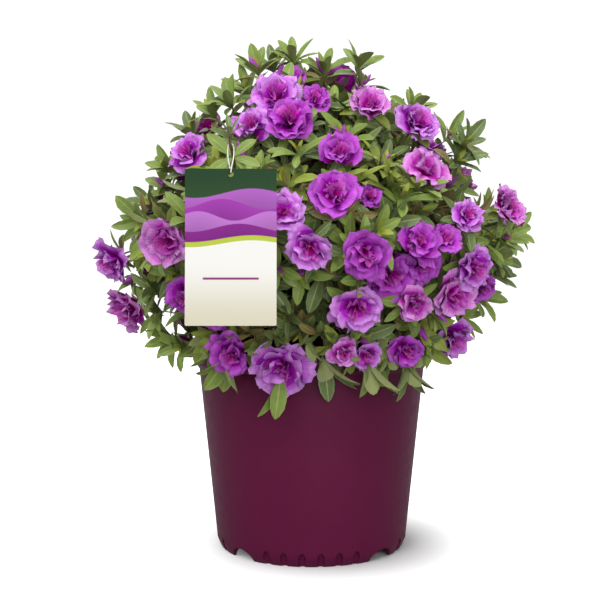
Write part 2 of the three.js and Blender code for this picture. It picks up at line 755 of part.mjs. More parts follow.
const pottingMix = meshOf("potting_mix", makePottingMix(), materials.mix);
pottingMix.position.z = mixFoot;
const planter = new THREE.Group();
planter.add(meshOf("pot", makePot(), materials.pot), pottingMix);

const limbs = new THREE.Group();
limbs.add(meshOf("trunk", trunkSolid(), materials.bark));
limbs.add(...masses.map((mass) => meshOf(`bough_${mass.name}`, makeBough(mass), materials.bark)));

const crown = new THREE.Group();
crown.add(...masses.map((mass, index) =>
  meshOf(`foliage_${mass.name}`, makeFoliage(mass, index), materials.foliage)));

const tie = meshOf("tag_tie", makeTie(), materials.tie);
tie.position.set(0, TAG.thickness / 2, tieLowest - TAG.low);
const label = new THREE.Group();
label.position.set(TAG.across, TAG.front, TAG.low);
label.add(meshOf("tag", makeTag(), materials.tag), tie);

const shrub = new THREE.Group();
shrub.add(planter, limbs, crown, label);

export default shrub;
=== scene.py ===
import functools
import math

import bpy
import numpy as np
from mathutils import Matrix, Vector


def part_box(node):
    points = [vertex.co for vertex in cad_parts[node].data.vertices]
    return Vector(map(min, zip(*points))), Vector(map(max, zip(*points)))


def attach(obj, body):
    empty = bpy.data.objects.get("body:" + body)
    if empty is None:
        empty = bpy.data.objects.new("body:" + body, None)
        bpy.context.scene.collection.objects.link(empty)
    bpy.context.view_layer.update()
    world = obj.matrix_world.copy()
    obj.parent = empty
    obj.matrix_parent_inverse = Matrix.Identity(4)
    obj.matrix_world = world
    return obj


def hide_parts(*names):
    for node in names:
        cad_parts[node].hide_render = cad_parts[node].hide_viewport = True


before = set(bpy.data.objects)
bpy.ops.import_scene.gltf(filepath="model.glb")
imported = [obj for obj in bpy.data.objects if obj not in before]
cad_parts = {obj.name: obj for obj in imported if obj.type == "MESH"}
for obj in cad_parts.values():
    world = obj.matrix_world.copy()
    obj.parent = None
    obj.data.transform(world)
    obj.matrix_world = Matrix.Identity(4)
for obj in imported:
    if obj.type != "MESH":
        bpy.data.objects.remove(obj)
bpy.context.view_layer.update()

bl_info = {
    "name": "Potted azalea shrub",
    "version": (1, 0, 0),
    "blender": (4, 5, 0),
    "location": "View3D > Sidebar > Azalea",
    "description": "Dresses the packed solids of an azalea shrub in its nursery pot",
    "category": "Object",
}

# Lengths are metres and bearings are degrees. The front, where the tag hangs, is at -y.
# A bearing of 0 is the front and 90 is +x.

POT_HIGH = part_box("pot")[1]
MIX_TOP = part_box("potting_mix")[1].z
TAG_LOW, TAG_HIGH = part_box("tag")
TRUNK_LOW, TRUNK_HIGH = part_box("trunk")

# Pot
FOOT_RADIUS = 0.109
FOOT_RING = 0.0035
FOOT_CHAMFER = 0.010
WALL_FOOT_RADIUS = 0.113
RIM_BAND = 0.028
BAND_STEP = 0.003
WALL = 0.0024
FLOOR_UNDERSIDE = 0.014
FLOOR_TOP = 0.017
FLOOR_DRAFT = 0.0025
CENTRE_FOOT_RADIUS = 0.020
LIP_ROUND = 0.0015
INNER_LIP_ROUND = 0.0008
SOFT_EDGE = 0.0012
BEND_HALF_HEIGHT = 0.001
BEND_BELOW_IN = 0.0005
BEND_ABOVE_OUT = 0.0001
STEP_OUT = 0.0004
STEP_DOWN = 0.0008
WALL_START = 0.016
WALL_ROWS = 12
ARCH_COUNT = 4
ARCH_WIDTH = 0.034
ARCH_HEIGHT = 0.0125
ARCH_SIDES = 56
ARCH_CUTTER_LENGTH = 0.03
FLUTES_BETWEEN_ARCHES = 6
FLUTE_SPACING = 10.4
FLUTE_RADIUS = 0.0042
FLUTE_HEIGHT = 0.0165
FLUTE_TILT = 15
FLUTE_STRETCH = 1.8
FLUTE_SIDES = 24
FLUTE_STANDS_OUT = 0.0006

# Crown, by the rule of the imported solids: its limbs fan out from a centre above the pot, and
# its leaves and petals reach an outline turned round the axis
FAN_HEIGHT = 0.262
CROWN_TOP = 0.598
CROWN_HEM = 0.210
WIDEST_HEIGHT = 0.350
WIDEST_RADIUS = 0.258
DOME_POWER = 1.2
DOME_ROOT = 0.6
DRAW_IN = 2.8
RINGS = (
    {"name": "top", "count": 1, "height": 0.594, "bearing": 0, "trunk": 0.98, "reach": (1,)},
    {"name": "upper", "count": 5, "height": 0.500, "bearing": -20, "trunk": 0.74,
     "reach": (1, 1.02, 0.98, 1.03, 0.97)},
    {"name": "middle", "count": 7, "height": 0.385, "bearing": -24, "trunk": 0.5,
     "reach": (1, 0.99, 1.05, 0.97, 1.02, 0.98, 0.99)},
    {"name": "low", "count": 7, "height": 0.246, "bearing": -4, "trunk": 0.26,
     "reach": (1, 1.02, 1.03, 0.98, 1, 0.97, 1.02)},
)
GOLDEN_ANGLE = 137.50776
SPIRAL_BANDS = 80
SLOPE_STEP = 0.004

# Every random draw starts from the seed and a step of its own
SEED = 4711
SEED_STEPS = {
    "skyline": 6, "leaves": 20, "petals": 40, "stamens": 41, "buds": 42,
    "trunk": 60, "boughs": 61, "stems": 62, "chips": 70,
}

# Limbs
TRUNK_LEAN = 0.005
TRUNK_SWAY = 0.003
TRUNK_TAPER = (
    (-0.02, 0.0175), (0.04, 0.0145), (0.1, 0.0125), (0.35, 0.0105), (0.7, 0.0092), (1, 0.0076),
)
TRUNK_SIDES = 28
TRUNK_RINGS = 44
TRUNK_RELIEF = 0.05
FLARE_DEPTH = 0.30
FLARE_REACH = 0.09
FLARE_LOBES = 5
FLARE_TURN = 0.8
BOUGH_ARCH = 0.006
BOUGH_SHARE = 0.42
BOUGH_RADII = (0.0036, 0.0024)
STEM_SHARE = 0.74
STEM_RADII = (0.0023, 0.0015)
TWIG_RADII = (0.0015, 0.0010)
SHOOT_RADII = (0.0009, 0.0006)
BOUGH_RELIEF = 0.05
STEM_RELIEF = 0.04
TWIG_SPREAD = 50
LOWEST_TWIG = 0.8
TWIG_BEND_SHARE = 0.35
RIM_CLEAR_RADIUS = 0.151
RIM_CLEAR_HEIGHT = 0.255
RIM_CLEAR_RISE = 0.012
LEAST_FROM_POT = 0.016
BLOOM_FROM_POT = 0.004

# Ridges of bark: how many go round a limb, and how far they turn from one ring to the next
BROAD_RIDGES = 7
BROAD_TURN = 0.35
NARROW_RIDGES = 11
NARROW_TURN = -0.5
NARROW_SHARE = 0.6

# Points along each limb, and sides round it
BOUGH_POINTS = 18
BOUGH_SIDES = 12
STEM_POINTS = 6
STEM_SIDES = 8
TWIG_POINTS = 8
TWIG_SIDES = 6
SHOOT_POINTS = 6
SHOOT_SIDES = 4

# A fine shoot starts from the nearest joint of a twig. A joint of another mass counts as further
# off, and one that isn't nearer to the centre than the shoot's end as much further off.
OTHER_MASS_COST = 0.05
OUTER_JOINT_COST = 0.5
LEAST_SHOOT_RISE = 0.008

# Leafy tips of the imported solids, and the finer shoots between them: how many in each layer, how
# far they are set back from the outline, and how near to a bloom they may be, before the overlap
# is taken off. Shoots hang over the rim of the pot at the front, long ones first, then shorter
# ones that cover it.
MAIN_TIPS = (
    {"count": 118, "inset": 0.020, "range": 0.014, "near": 0.034, "seed": 1},
    {"count": 30, "inset": 0.084, "range": 0.014, "near": 0.0, "seed": 2},
)
FINE_SHOOTS = (
    {"count": 900, "inset": 0.014, "range": 0.022, "near": 0.026, "seed": 3},
    {"count": 560, "inset": 0.044, "range": 0.030, "near": 0.014, "seed": 4},
    {"count": 190, "inset": 0.085, "range": 0.055, "near": 0.0, "seed": 5},
)
SHOOT_SPACING = 0.0215
BLOOM_OVERLAP = 0.022
BEARING_SCATTER = 9
HEIGHT_SCATTER = 0.016
BELOW_TOP = 0.0005
FACING_SCATTER = 0.26
LIFT_ABOVE_RIM = 0.42
LIFT_BELOW_RIM = -0.25
HANGING_TIPS = (
    (-0.093, 0.216), (-0.031, 0.204), (0.014, 0.214), (0.062, 0.214), (0.104, 0.212),
)
HEM_TIPS = (
    (-0.128, 0.236), (-0.116, 0.226), (-0.066, 0.232), (-0.046, 0.238), (-0.004, 0.236),
    (0.024, 0.230), (0.044, 0.222), (0.078, 0.232), (0.086, 0.220), (0.118, 0.228),
    (0.136, 0.238),
)
HANGING_INSET = 0.020
HANGING_DROOP = 2.6

# Bays between the tufts of leaves, broad hollows of the outline, and the shoots that stand out on
# the skyline of the front: across (x) and height (z)
BAY_DEPTH = 0.024
BAY_MIDDLE = 0.5
BAY_SWING = 0.38
DEEP_INSET = 0.042
SKYLINE_SETBACK = 0.026
HOLLOWS = (
    {"bearing": 74, "height": 0.465, "depth": 0.034, "breadth": 0.048},
    {"bearing": 80, "height": 0.525, "depth": 0.028, "breadth": 0.036},
    {"bearing": -76, "height": 0.428, "depth": 0.032, "breadth": 0.054},
    {"bearing": -60, "height": 0.550, "depth": 0.020, "breadth": 0.032},
    {"bearing": -64, "height": 0.228, "depth": 0.030, "breadth": 0.034},
    {"bearing": 20, "height": 0.580, "depth": 0.014, "breadth": 0.030},
)
SKYLINE_BAND = 0.36
SKYLINE_DEPTH = -0.045
SKYLINE_SCATTER = 0.060
SKYLINE_LEAN = (0, -0.8, 0.35)
SKYLINE_SHOOTS = (
    (-0.145, 0.240), (-0.161, 0.248), (-0.175, 0.278), (-0.176, 0.302), (-0.205, 0.318),
    (-0.192, 0.376), (-0.184, 0.402), (-0.164, 0.422), (-0.162, 0.442), (-0.140, 0.486),
    (-0.114, 0.508), (-0.092, 0.514), (-0.074, 0.534), (-0.062, 0.554), (-0.044, 0.564),
    (-0.021, 0.566), (0.016, 0.560), (0.054, 0.558), (0.118, 0.512), (0.160, 0.482),
    (0.174, 0.468), (0.164, 0.448), (0.157, 0.422), (0.206, 0.390), (0.240, 0.374),
    (0.217, 0.360), (0.215, 0.340), (0.210, 0.322), (0.199, 0.295), (0.174, 0.272),
)

# Blooms that face the front: across (x), height (z) and width. The half hidden ones sit deeper
# among the leaves. The rest of the crown has blooms of a golden spiral and late ones between.
FRONT_BLOOMS = (
    (-0.064, 0.474, 0.040), (-0.023, 0.481, 0.052), (-0.040, 0.515, 0.052),
    (0.063, 0.502, 0.044), (0.116, 0.488, 0.050), (0.124, 0.428, 0.046), (0.029, 0.441, 0.042),
    (-0.134, 0.450, 0.044), (0.022, 0.396, 0.050), (-0.027, 0.375, 0.042), (-0.148, 0.343, 0.052),
    (-0.245, 0.332, 0.054), (-0.230, 0.286, 0.060), (-0.130, 0.289, 0.038), (-0.002, 0.334, 0.046),
    (0.054, 0.328, 0.049), (0.047, 0.276, 0.050), (0.104, 0.280, 0.038),
    (0.059, 0.228, 0.034), (0.034, 0.231, 0.030), (0.103, 0.232, 0.040), (-0.030, 0.214, 0.066),
    (-0.086, 0.227, 0.050), (0.165, 0.379, 0.034), (0.211, 0.395, 0.048), (0.169, 0.317, 0.046),
    (0.151, 0.292, 0.050), (0.184, 0.299, 0.038), (0.164, 0.241, 0.052),
)
HALF_HIDDEN_BLOOMS = (
    (0.090, 0.300, 0.052), (0.119, 0.356, 0.042), (0.125, 0.312, 0.042), (0.005, 0.527, 0.034),
    (-0.030, 0.566, 0.038), (-0.109, 0.260, 0.040), (0.064, 0.405, 0.026), (0.148, 0.360, 0.036),
)
TURN_TO_VIEWER = 0.45
LESS_TURN_ASIDE = 0.2
BLOOM_INSET = 0.006
HALF_HIDDEN_INSET = 0.024
SIDE_BEARING = 80
BLOOM_DEPTH = 0.36
ROUND_BLOOMS = 58
BACK_FROM_BEARING = 98
BACK_BLOOM_WIDTHS = (0.040, 0.046, 0.052)
LATE_BLOOMS = 150
LATE_FROM_BEARING = 78
LATE_SPACING = 0.058
LATE_BLOOM_WIDTHS = (0.038, 0.044, 0.034)

# Hang tag and its tie. The twig that carries it comes from a mass, from behind the loop, and goes
# on beyond it.
TAG_ACROSS = -0.074
TAG_CORNER_STEPS = 5
TAG_ROWS = 12
TAG_BOW = 0.0022
TAG_HOLE_RADIUS = 0.0026
TAG_HOLE_SIDES = 40
TAG_HOLE_BELOW_TOP = 0.005
PUNCH_LENGTH = 0.01
TAG_TWIG_MASS = "middle_1"
TAG_TWIG_BEHIND = (0, 0.048, -0.002)
TAG_TWIG_BEYOND = ((0, -0.007, 0.0003), (0, -0.009, 0.009))
TAG_TWIG_POINTS = 9
TAG_TWIG_SIDES = 8
TAG_TWIG_RADIUS = 0.0016
TAG_TWIG_TAPER = 0.8
TIE_RADIUS = 0.0005
TIE_ROUND_TWIG = 0.00035
TIE_DROP = 0.024
TIE_SLACK = 0.0008
TIE_STRAND = ((0.00255, 0.0016, 0.0132), (0.0008, 0.0021, 0.004), (0.0003, 0.00144, 0.0009))
TIE_LOWEST = TAG_HIGH.z - TAG_HOLE_BELOW_TOP + TAG_HOLE_RADIUS - TIE_RADIUS - TIE_SLACK

# How far leaves stay clear of the card, how far shoots and petals do, how far both stay clear of
# the tie to each side, forward and back, and down the card, and how far leaves do of the pot
TAG_ROOM = 0.003
THIN_ROOM = 0.001
TIE_ROOM_ACROSS = 0.006
TIE_ROOM_DEEP = 0.012
TIE_ROOM_DOWN = 0.010
POT_ROOM = 0.0012

# Waves of the tag's print, from the far one to the near one: base and swing as shares of the
# card's height, waves and shift in radians across its width, and tint
CARD_WAVES = (
    (0.845, 0.030, 5.0, 0.4, (154, 84, 168)),
    (0.775, 0.034, 6.5, 2.2, (140, 50, 150)),
    (0.700, 0.030, 8.0, 4.4, (166, 102, 178)),
    (0.625, 0.026, 6.0, 1.0, (116, 30, 120)),
)

# Camera and picture, as worked out from the photograph's ellipses
CAMERA_DISTANCE = 1.050
CAMERA_HEIGHT = 0.285
FOCAL_PIXELS = 867
AXIS_PIXEL = 311.5
HORIZON_PIXEL = 305
PICTURE_PIXELS = 600
SENSOR_WIDTH = 36
FURTHEST_SEEN = 30

# Studio lights: where each stands, how wide it is, and its power as a share of the key light's
LIGHT_TARGET = (0, 0, 0.33)
LIGHTS = (
    {"name": "key", "spot": (-0.6, -1.6, 1.7), "size": 1.3, "share": 1},
    {"name": "fill", "spot": (0.5, -2.1, 0.4), "size": 1.4, "share": 0.95},
    {"name": "top", "spot": (0.2, 0.1, 2.2), "size": 1.3, "share": 0.42},
    {"name": "back", "spot": (-0.6, 1.9, 1.3), "size": 1.5, "share": 0.5},
)
FLOOR_WIDTH = 40
FLOOR_SHADE_MIDDLE = (0.022, 0.0, 0.0)
FLOOR_CLEARS = (0.097, 0.215)
SKY_LIGHT = (0.62, 0.94)
BACKDROP_LIGHT = 1.1


# Sizes and colours that a user would change

def srgb(red, green, blue):
    """A picture's colour, 0 to 255 a channel, as the linear colour that a shader takes."""
    channels = []
    for value in (red, green, blue):
        share = value / 255
        channels.append(share / 12.92 if share <= 0.04045 else ((share + 0.055) / 1.055) ** 2.4)
    return (*channels, 1.0)


def length(name, description, default):
    return bpy.props.FloatProperty(
        name=name, description=description, default=default, min=0.0, unit="LENGTH", precision=4)


def colour(name, description, default):
    return bpy.props.FloatVectorProperty(
        name=name, description=description, default=default,
        size=4, subtype="COLOR", min=0.0, max=1.0)


class PotSizes(bpy.types.PropertyGroup):
    height: length("Height", "From the foot to the lip", POT_HIGH.z)
    rim_radius: length("Rim radius", "Outer radius of the rim band", POT_HIGH.x)
    segments: bpy.props.IntProperty(
        name="Segments", description="Sides of the round pot", default=176, min=24, max=256)
    plastic: colour("Plastic", "Colour of the satin plastic", srgb(88, 17, 54))
    mix: colour("Potting mix", "Colour of the damp bark and peat", srgb(74, 52, 38))


class CrownSizes(bpy.types.PropertyGroup):
    leaf_length: length("Leaf length", "A full-grown leaf from root to tip", 0.0345)
    leaf_width: length("Leaf width", "A full-grown leaf at its widest", 0.0122)
    whorl_leaves: bpy.props.IntProperty(
        name="Whorl leaves", description="Spreading leaves at the end of a shoot",
        default=7, min=3, max=9)
    young_leaves: bpy.props.IntProperty(
        name="Young leaves", description="Small upright leaves at the end of a shoot",
        default=3, min=0, max=5)
    leaf: colour("Leaf", "Colour of a full-grown leaf", srgb(122, 144, 62))
    bark: colour("Bark", "Colour of the woody limbs", srgb(122, 98, 72))


class BloomSizes(bpy.types.PropertyGroup):
    outer_petals: bpy.props.IntProperty(
        name="Outer petals", description="Petals in the outer ring", default=6, min=4, max=8)
    middle_petals: bpy.props.IntProperty(
        name="Middle petals", description="Petals in the middle ring", default=5, min=0, max=8)
    inner_petals: bpy.props.IntProperty(
        name="Inner petals", description="Small petals round the heart", default=3, min=0, max=8)
    fullness: bpy.props.FloatProperty(
        name="Fullness", description="Width of a bloom against its funnel in the solids",
        default=1.08, min=0.8, max=1.3, subtype="FACTOR")
    petal: colour("Petal", "Colour of the middle of a petal", srgb(180, 10, 182))


class TagSizes(bpy.types.PropertyGroup):
    width: length("Width", "Width of the card", TAG_HIGH.x - TAG_LOW.x)
    height: length("Height", "Height of the card", TAG_HIGH.z - TAG_LOW.z)
    corner: length("Corner", "Radius of the card's corners", 0.0015)
    card: colour("Card", "Colour of the bare card", srgb(218, 217, 213))


class StageSizes(bpy.types.PropertyGroup):
    camera_distance: length("Camera distance", "From the pot's axis to the camera", CAMERA_DISTANCE)
    camera_height: length("Camera height", "Height of the camera above the floor", CAMERA_HEIGHT)
    key_power: bpy.props.FloatProperty(
        name="Key light", description="Power of the large soft light at the front",
        default=25, min=0, unit="POWER")


# Joined meshes from arrays

def draws_for(name):
    """The random draws of one kind of thing, the same on every run."""
    return np.random.default_rng(SEED + SEED_STEPS[name])


def select_alone(piece):
    """Makes a piece the only one selected, and the active one."""
    bpy.ops.object.select_all(action="DESELECT")
    piece.select_set(True)
    bpy.context.view_layer.objects.active = piece


def finish_piece(piece, nodes=(), angle=None):
    """Rides a finished piece on the one body and hides the solids that it stands for."""
    if angle is not None:
        select_alone(piece)
        bpy.ops.object.shade_smooth_by_angle(angle=math.radians(angle))
    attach(piece, "root")
    if nodes:
        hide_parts(*nodes)
    return piece


def joined_piece(name, points, quads, materials, tints=None, smooth=True, uvs=None):
    """One object from rows of points and of four corners, with a material number for each face."""
    mesh = bpy.data.meshes.new(name)
    mesh.vertices.add(len(points))
    mesh.vertices.foreach_set("co", np.asarray(points, dtype=np.float32).ravel())
    mesh.loops.add(quads.size)
    mesh.loops.foreach_set("vertex_index", quads.astype(np.int32).ravel())
    mesh.polygons.add(len(quads))
    mesh.polygons.foreach_set("loop_start", np.arange(0, quads.size, 4, dtype=np.int32))
    for material in materials:
        mesh.materials.append(material)
    if tints is not None:
        mesh.polygons.foreach_set("material_index", tints.astype(np.int32))
    mesh.polygons.foreach_set("use_smooth", np.full(len(quads), smooth))
    if uvs is not None:
        layer = mesh.uv_layers.new(name="blade")
        layer.data.foreach_set("uv", uvs[quads.ravel()].astype(np.float32).ravel())
    mesh.update(calc_edges=True)
    mesh.validate()
    piece = bpy.data.objects.new(name, mesh)
    bpy.context.scene.collection.objects.link(piece)
    return piece


def unit(vectors):
    return vectors / np.maximum(np.linalg.norm(vectors, axis=-1, keepdims=True), 1e-12)


def square_to(axes, turns):
    """For each axis, a unit vector square to it, turned round it by so many radians."""
    helper = np.where(np.abs(axes[..., 2:3]) < 0.9, (0.0, 0.0, 1.0), (1.0, 0.0, 0.0))
    across = unit(np.cross(axes, helper))
    upward = np.cross(axes, across)
    return across * np.cos(turns)[..., None] + upward * np.sin(turns)[..., None]


def sheet_quads(count, rows, columns):
    """Corners of the faces of so many sheets of rows by columns of points, upper side out."""
    row, column = np.meshgrid(np.arange(rows - 1), np.arange(columns - 1), indexing="ij")
    first = (row * columns + column).ravel()
    one = np.stack([first, first + columns, first + columns + 1, first + 1], axis=1)
    return (one[None] + (np.arange(count) * rows * columns)[:, None, None]).reshape(-1, 4)


def sheet_uvs(columns, rows):
    """Places on one leaf or petal: 0 to 1 from side to side, and 0 to 1 from its root on."""
    return np.stack(np.meshgrid(0.5 + 0.5 * columns, rows), axis=-1).reshape(-1, 2)


def tube_points(paths, radii, sides):
    """Rings of points round each path: paths is tubes by points by 3, radii tubes by points."""
    along = np.empty_like(paths)
    along[:, 1:-1] = paths[:, 2:] - paths[:, :-2]
    along[:, 0] = paths[:, 1] - paths[:, 0]
    along[:, -1] = paths[:, -1] - paths[:, -2]
    along = unit(along)
    across = square_to(along, np.zeros(along.shape[:2]))
    for step in range(1, paths.shape[1]):
        carried = across[:, step - 1]
        lengthwise = np.sum(carried * along[:, step], axis=1, keepdims=True)
        carried = carried - along[:, step] * lengthwise
        across[:, step] = unit(carried)
    upward = np.cross(along, across)
    turns = 2 * np.pi * np.arange(sides) / sides
    ring = (across[:, :, None] * np.cos(turns)[:, None]
            + upward[:, :, None] * np.sin(turns)[:, None])
    return paths[:, :, None] + ring * radii[:, :, None, None]


def tube_quads(count, rings, sides):
    """Corners of the walls and of both end caps of so many tubes. Sides is an even number."""
    ring, side = np.meshgrid(np.arange(rings - 1), np.arange(sides), indexing="ij")
    after = (side + 1) % sides
    corners = [ring * sides + side, ring * sides + after,
               (ring + 1) * sides + after, (ring + 1) * sides + side]
    walls = np.stack(corners, axis=-1).reshape(-1, 4)
    cap = np.array([[k, k + 1, sides - 2 - k, sides - 1 - k] for k in range(sides // 2 - 1)])
    one = np.concatenate([walls, cap[:, ::-1], cap + (rings - 1) * sides])
    return (one[None] + (np.arange(count) * rings * sides)[:, None, None]).reshape(-1, 4)


def curve_between(points, count):
    """Smooth paths of so many points through the few control points of each Bezier curve."""
    share = np.linspace(0, 1, count)[None, :, None]
    layers = [points[:, k][:, None] for k in range(points.shape[1])]
    while len(layers) > 1:
        layers = [a * (1 - share) + b * share for a, b in zip(layers, layers[1:])]
    return layers[0]


# Crown rule

def outline_radius(height):
    height = np.asarray(height, dtype=float)
    rise = np.clip((height - WIDEST_HEIGHT) / (CROWN_TOP - WIDEST_HEIGHT), 0, 1)
    dome = WIDEST_RADIUS * (1 - rise ** DOME_POWER) ** DOME_ROOT
    drawn_in = WIDEST_RADIUS * (1 - (WIDEST_HEIGHT - height) * DRAW_IN)
    return np.where(height < WIDEST_HEIGHT, drawn_in, dome)


def at_bearing(bearing, radius, height):
    turn = np.radians(bearing)
    spots = np.broadcast_arrays(np.sin(turn) * radius, -np.cos(turn) * radius, height)
    return np.stack(spots, axis=-1)


def outline_normal(bearing, height):
    run = outline_radius(height + SLOPE_STEP) - outline_radius(height - SLOPE_STEP)
    return unit(at_bearing(bearing, 2 * SLOPE_STEP, -run))


def make_masses():
    masses = []
    for ring in RINGS:
        for index, reach in enumerate(ring["reach"]):
            bearing = ring["bearing"] + 360 / ring["count"] * index
            height = ring["height"]
            middle = at_bearing(bearing, outline_radius(height), height) - FAN_CENTRE
            name = ring["name"] if ring["count"] == 1 else f"{ring['name']}_{index + 1}"
            masses.append({
                "name": name,
                "trunk": ring["trunk"],
                "reach": reach,
                "length": float(np.linalg.norm(middle)),
                "direction": unit(middle),
            })
    return masses


FAN_CENTRE = np.array((0, 0, FAN_HEIGHT))
MASSES = make_masses()
DIRECTIONS = np.array([mass["direction"] for mass in MASSES])
REACHES = np.array([mass["reach"] for mass in MASSES])
LENGTHS = np.array([mass["length"] for mass in MASSES])


def owner_of(points):
    return np.argmax(unit(points - FAN_CENTRE) @ DIRECTIONS.T, axis=-1)


def wall_radius(height, top, rim):
    """Outer radius of the wall of a pot, by the height of its lip and the radius of its rim."""
    share = (height - FOOT_CHAMFER) / (top - RIM_BAND - FOOT_CHAMFER)
    return WALL_FOOT_RADIUS + (rim - BAND_STEP - WALL_FOOT_RADIUS) * share


def pot_radius(height):
    wall = wall_radius(height, POT_HIGH.z, POT_HIGH.x)
    return np.where(height > POT_HIGH.z - RIM_BAND - BAND_STEP, POT_HIGH.x, wall)


def spiral_spots(count):
    """Bearings and heights of a golden spiral over the outline, by equal areas."""
    edges = np.linspace(CROWN_HEM, CROWN_TOP, SPIRAL_BANDS + 1)
    step = edges[1] - edges[0]
    slope = outline_radius(edges[1:]) - outline_radius(edges[:-1])
    areas = outline_radius(edges[:-1] + step / 2) * np.hypot(step, slope)
    total = np.concatenate([[0], np.cumsum(areas)])
    order = np.arange(count)
    height = np.interp(total[-1] * (order + 0.5) / count, total, edges)
    return (order * GOLDEN_ANGLE) % 360, height


def crown_points(bearing, height, inset):
    """Spots set back from the crown's outline, and never inside the pot."""
    reach = REACHES[owner_of(at_bearing(bearing, outline_radius(height), height))]
    points = at_bearing(bearing, outline_radius(height) * reach, height)
    points = points - outline_normal(bearing, height) * np.reshape(inset, (-1, 1))
    radius = np.hypot(points[:, 0], points[:, 1])
    beside_pot = pot_radius(points[:, 2]) + LEAST_FROM_POT
    least = np.where(points[:, 2] < RIM_CLEAR_HEIGHT, beside_pot, 0)
    grown = np.maximum(radius, least) / np.maximum(radius, 1e-6)
    points[:, :2] *= grown[:, None]
    return points


# Growth: tips, twigs and shoots

def front_bearing(across, height):
    return np.degrees(np.arcsin(np.clip(across / outline_radius(height), -1, 1)))


def spaced(points, least, taken=()):
    """A mask of the points that keep their distance from earlier ones."""
    kept_points = [*taken]
    mask = np.zeros(len(points), dtype=bool)
    for index, point in enumerate(points):
        gaps = np.linalg.norm(np.reshape(kept_points, (-1, 3)) - point, axis=1)
        if (gaps > least).all():
            mask[index] = True
            kept_points.append(point)
    return mask


def near_skyline(points, normals):
    """Whether spots of the outline are seen edge on from the front."""
    towards = unit(np.array((0, -CAMERA_DISTANCE, CAMERA_HEIGHT)) - points)
    return np.abs(np.sum(normals * towards, axis=1)) < SKYLINE_BAND


def bloom_tips():
    """The spots of all the blooms, the ways that they face and their widths."""
    across, height, width = np.array(FRONT_BLOOMS + HALF_HIDDEN_BLOOMS).T
    counts = (len(FRONT_BLOOMS), len(HALF_HIDDEN_BLOOMS))
    depth = np.repeat((BLOOM_INSET, HALF_HIDDEN_INSET), counts)
    furthest = outline_radius(height) * np.sin(np.radians(SIDE_BEARING))
    bearing = front_bearing(np.clip(across, -furthest, furthest), height)
    facing = outline_normal(bearing, height)
    aside = np.minimum(np.abs(across) / outline_radius(height), 1)
    facing[:, 1] -= TURN_TO_VIEWER * (1 - LESS_TURN_ASIDE * aside ** 4)
    facing = unit(facing)
    spots = crown_points(bearing, height, depth - np.maximum(np.abs(across) - furthest, 0))
    rounds = (
        (ROUND_BLOOMS, BACK_BLOOM_WIDTHS, BACK_FROM_BEARING, 0),
        (LATE_BLOOMS, LATE_BLOOM_WIDTHS, LATE_FROM_BEARING, LATE_SPACING),
    )
    for count, widths, first_bearing, least in rounds:
        bearing, height = spiral_spots(count)
        chosen = np.minimum(bearing, 360 - bearing) >= first_bearing
        bearing, height = bearing[chosen], height[chosen]
        normals = outline_normal(bearing, height)
        edge_on = near_skyline(crown_points(bearing, height, np.zeros(len(bearing))), normals)
        inset = BLOOM_INSET + np.where(edge_on, SKYLINE_SETBACK, 0)
        found = crown_points(bearing, height, inset)
        apart = spaced(found, least, spots)
        spots = np.concatenate([spots, found[apart]])
        facing = np.concatenate([facing, normals[apart]])
        width = np.concatenate([width, np.resize(widths, count)[chosen][apart]])
    bases = spots - facing * (BLOOM_DEPTH * width)[:, None]
    beside_pot = pot_radius(bases[:, 2]) + BLOOM_FROM_POT
    least = np.where(bases[:, 2] < RIM_CLEAR_HEIGHT, beside_pot, 0)
    outward = np.maximum(least - np.hypot(bases[:, 0], bases[:, 1]), 0)
    return spots + unit(spots * (1, 1, 0)) * outward[:, None], facing, width


BLOOM_SPOTS, BLOOM_FACINGS, BLOOM_WIDTHS = bloom_tips()
BLOOM_BASES = BLOOM_SPOTS - BLOOM_FACINGS * (BLOOM_DEPTH * BLOOM_WIDTHS)[:, None]


def in_tag_zone(points, margin=TAG_ROOM):
    """Whether points would hide the card or run into it or its tie."""
    across = np.abs(points[..., 0] - TAG_ACROSS)
    depth = points[..., 1] - TAG_LOW.y
    rise = points[..., 2]
    card = (across < (TAG_HIGH.x - TAG_LOW.x) / 2 + margin) & (depth < margin)
    card &= (rise > TAG_LOW.z - margin) & (rise < TAG_HIGH.z + margin)
    tie = (across < TIE_ROOM_ACROSS) & (np.abs(depth) < TIE_ROOM_DEEP)
    tie &= (rise > TAG_HIGH.z - TIE_ROOM_DOWN) & (rise < TAG_HIGH.z + TIE_DROP)
    return card | tie


def in_pot(points, margin=POT_ROOM):
    radius = np.hypot(points[..., 0], points[..., 1])
    height = points[..., 2]
    return (height < POT_HIGH.z + margin) & (radius < pot_radius(height) + margin)


def bays(points):
    """How far leaves stand back between the tufts: 0 on a tuft and 1 in the bay beside it."""
    x, y, z = unit(points - FAN_CENTRE).T
    waves = np.sin(15 * x + 1.0) + np.sin(13 * y + 2.2) + np.sin(17 * z + 4 * x + 0.6)
    return np.clip(BAY_MIDDLE + BAY_SWING * waves, 0, 1)


def hollows(points):
    """How far the outline is drawn in by its broad hollows."""
    depth = np.zeros(len(points))
    for hollow in HOLLOWS:
        height = hollow["height"]
        middle = at_bearing(hollow["bearing"], outline_radius(height), height)
        away = np.linalg.norm(points - middle, axis=1) / hollow["breadth"]
        depth += hollow["depth"] * np.exp(-away * away / 2)
    return depth


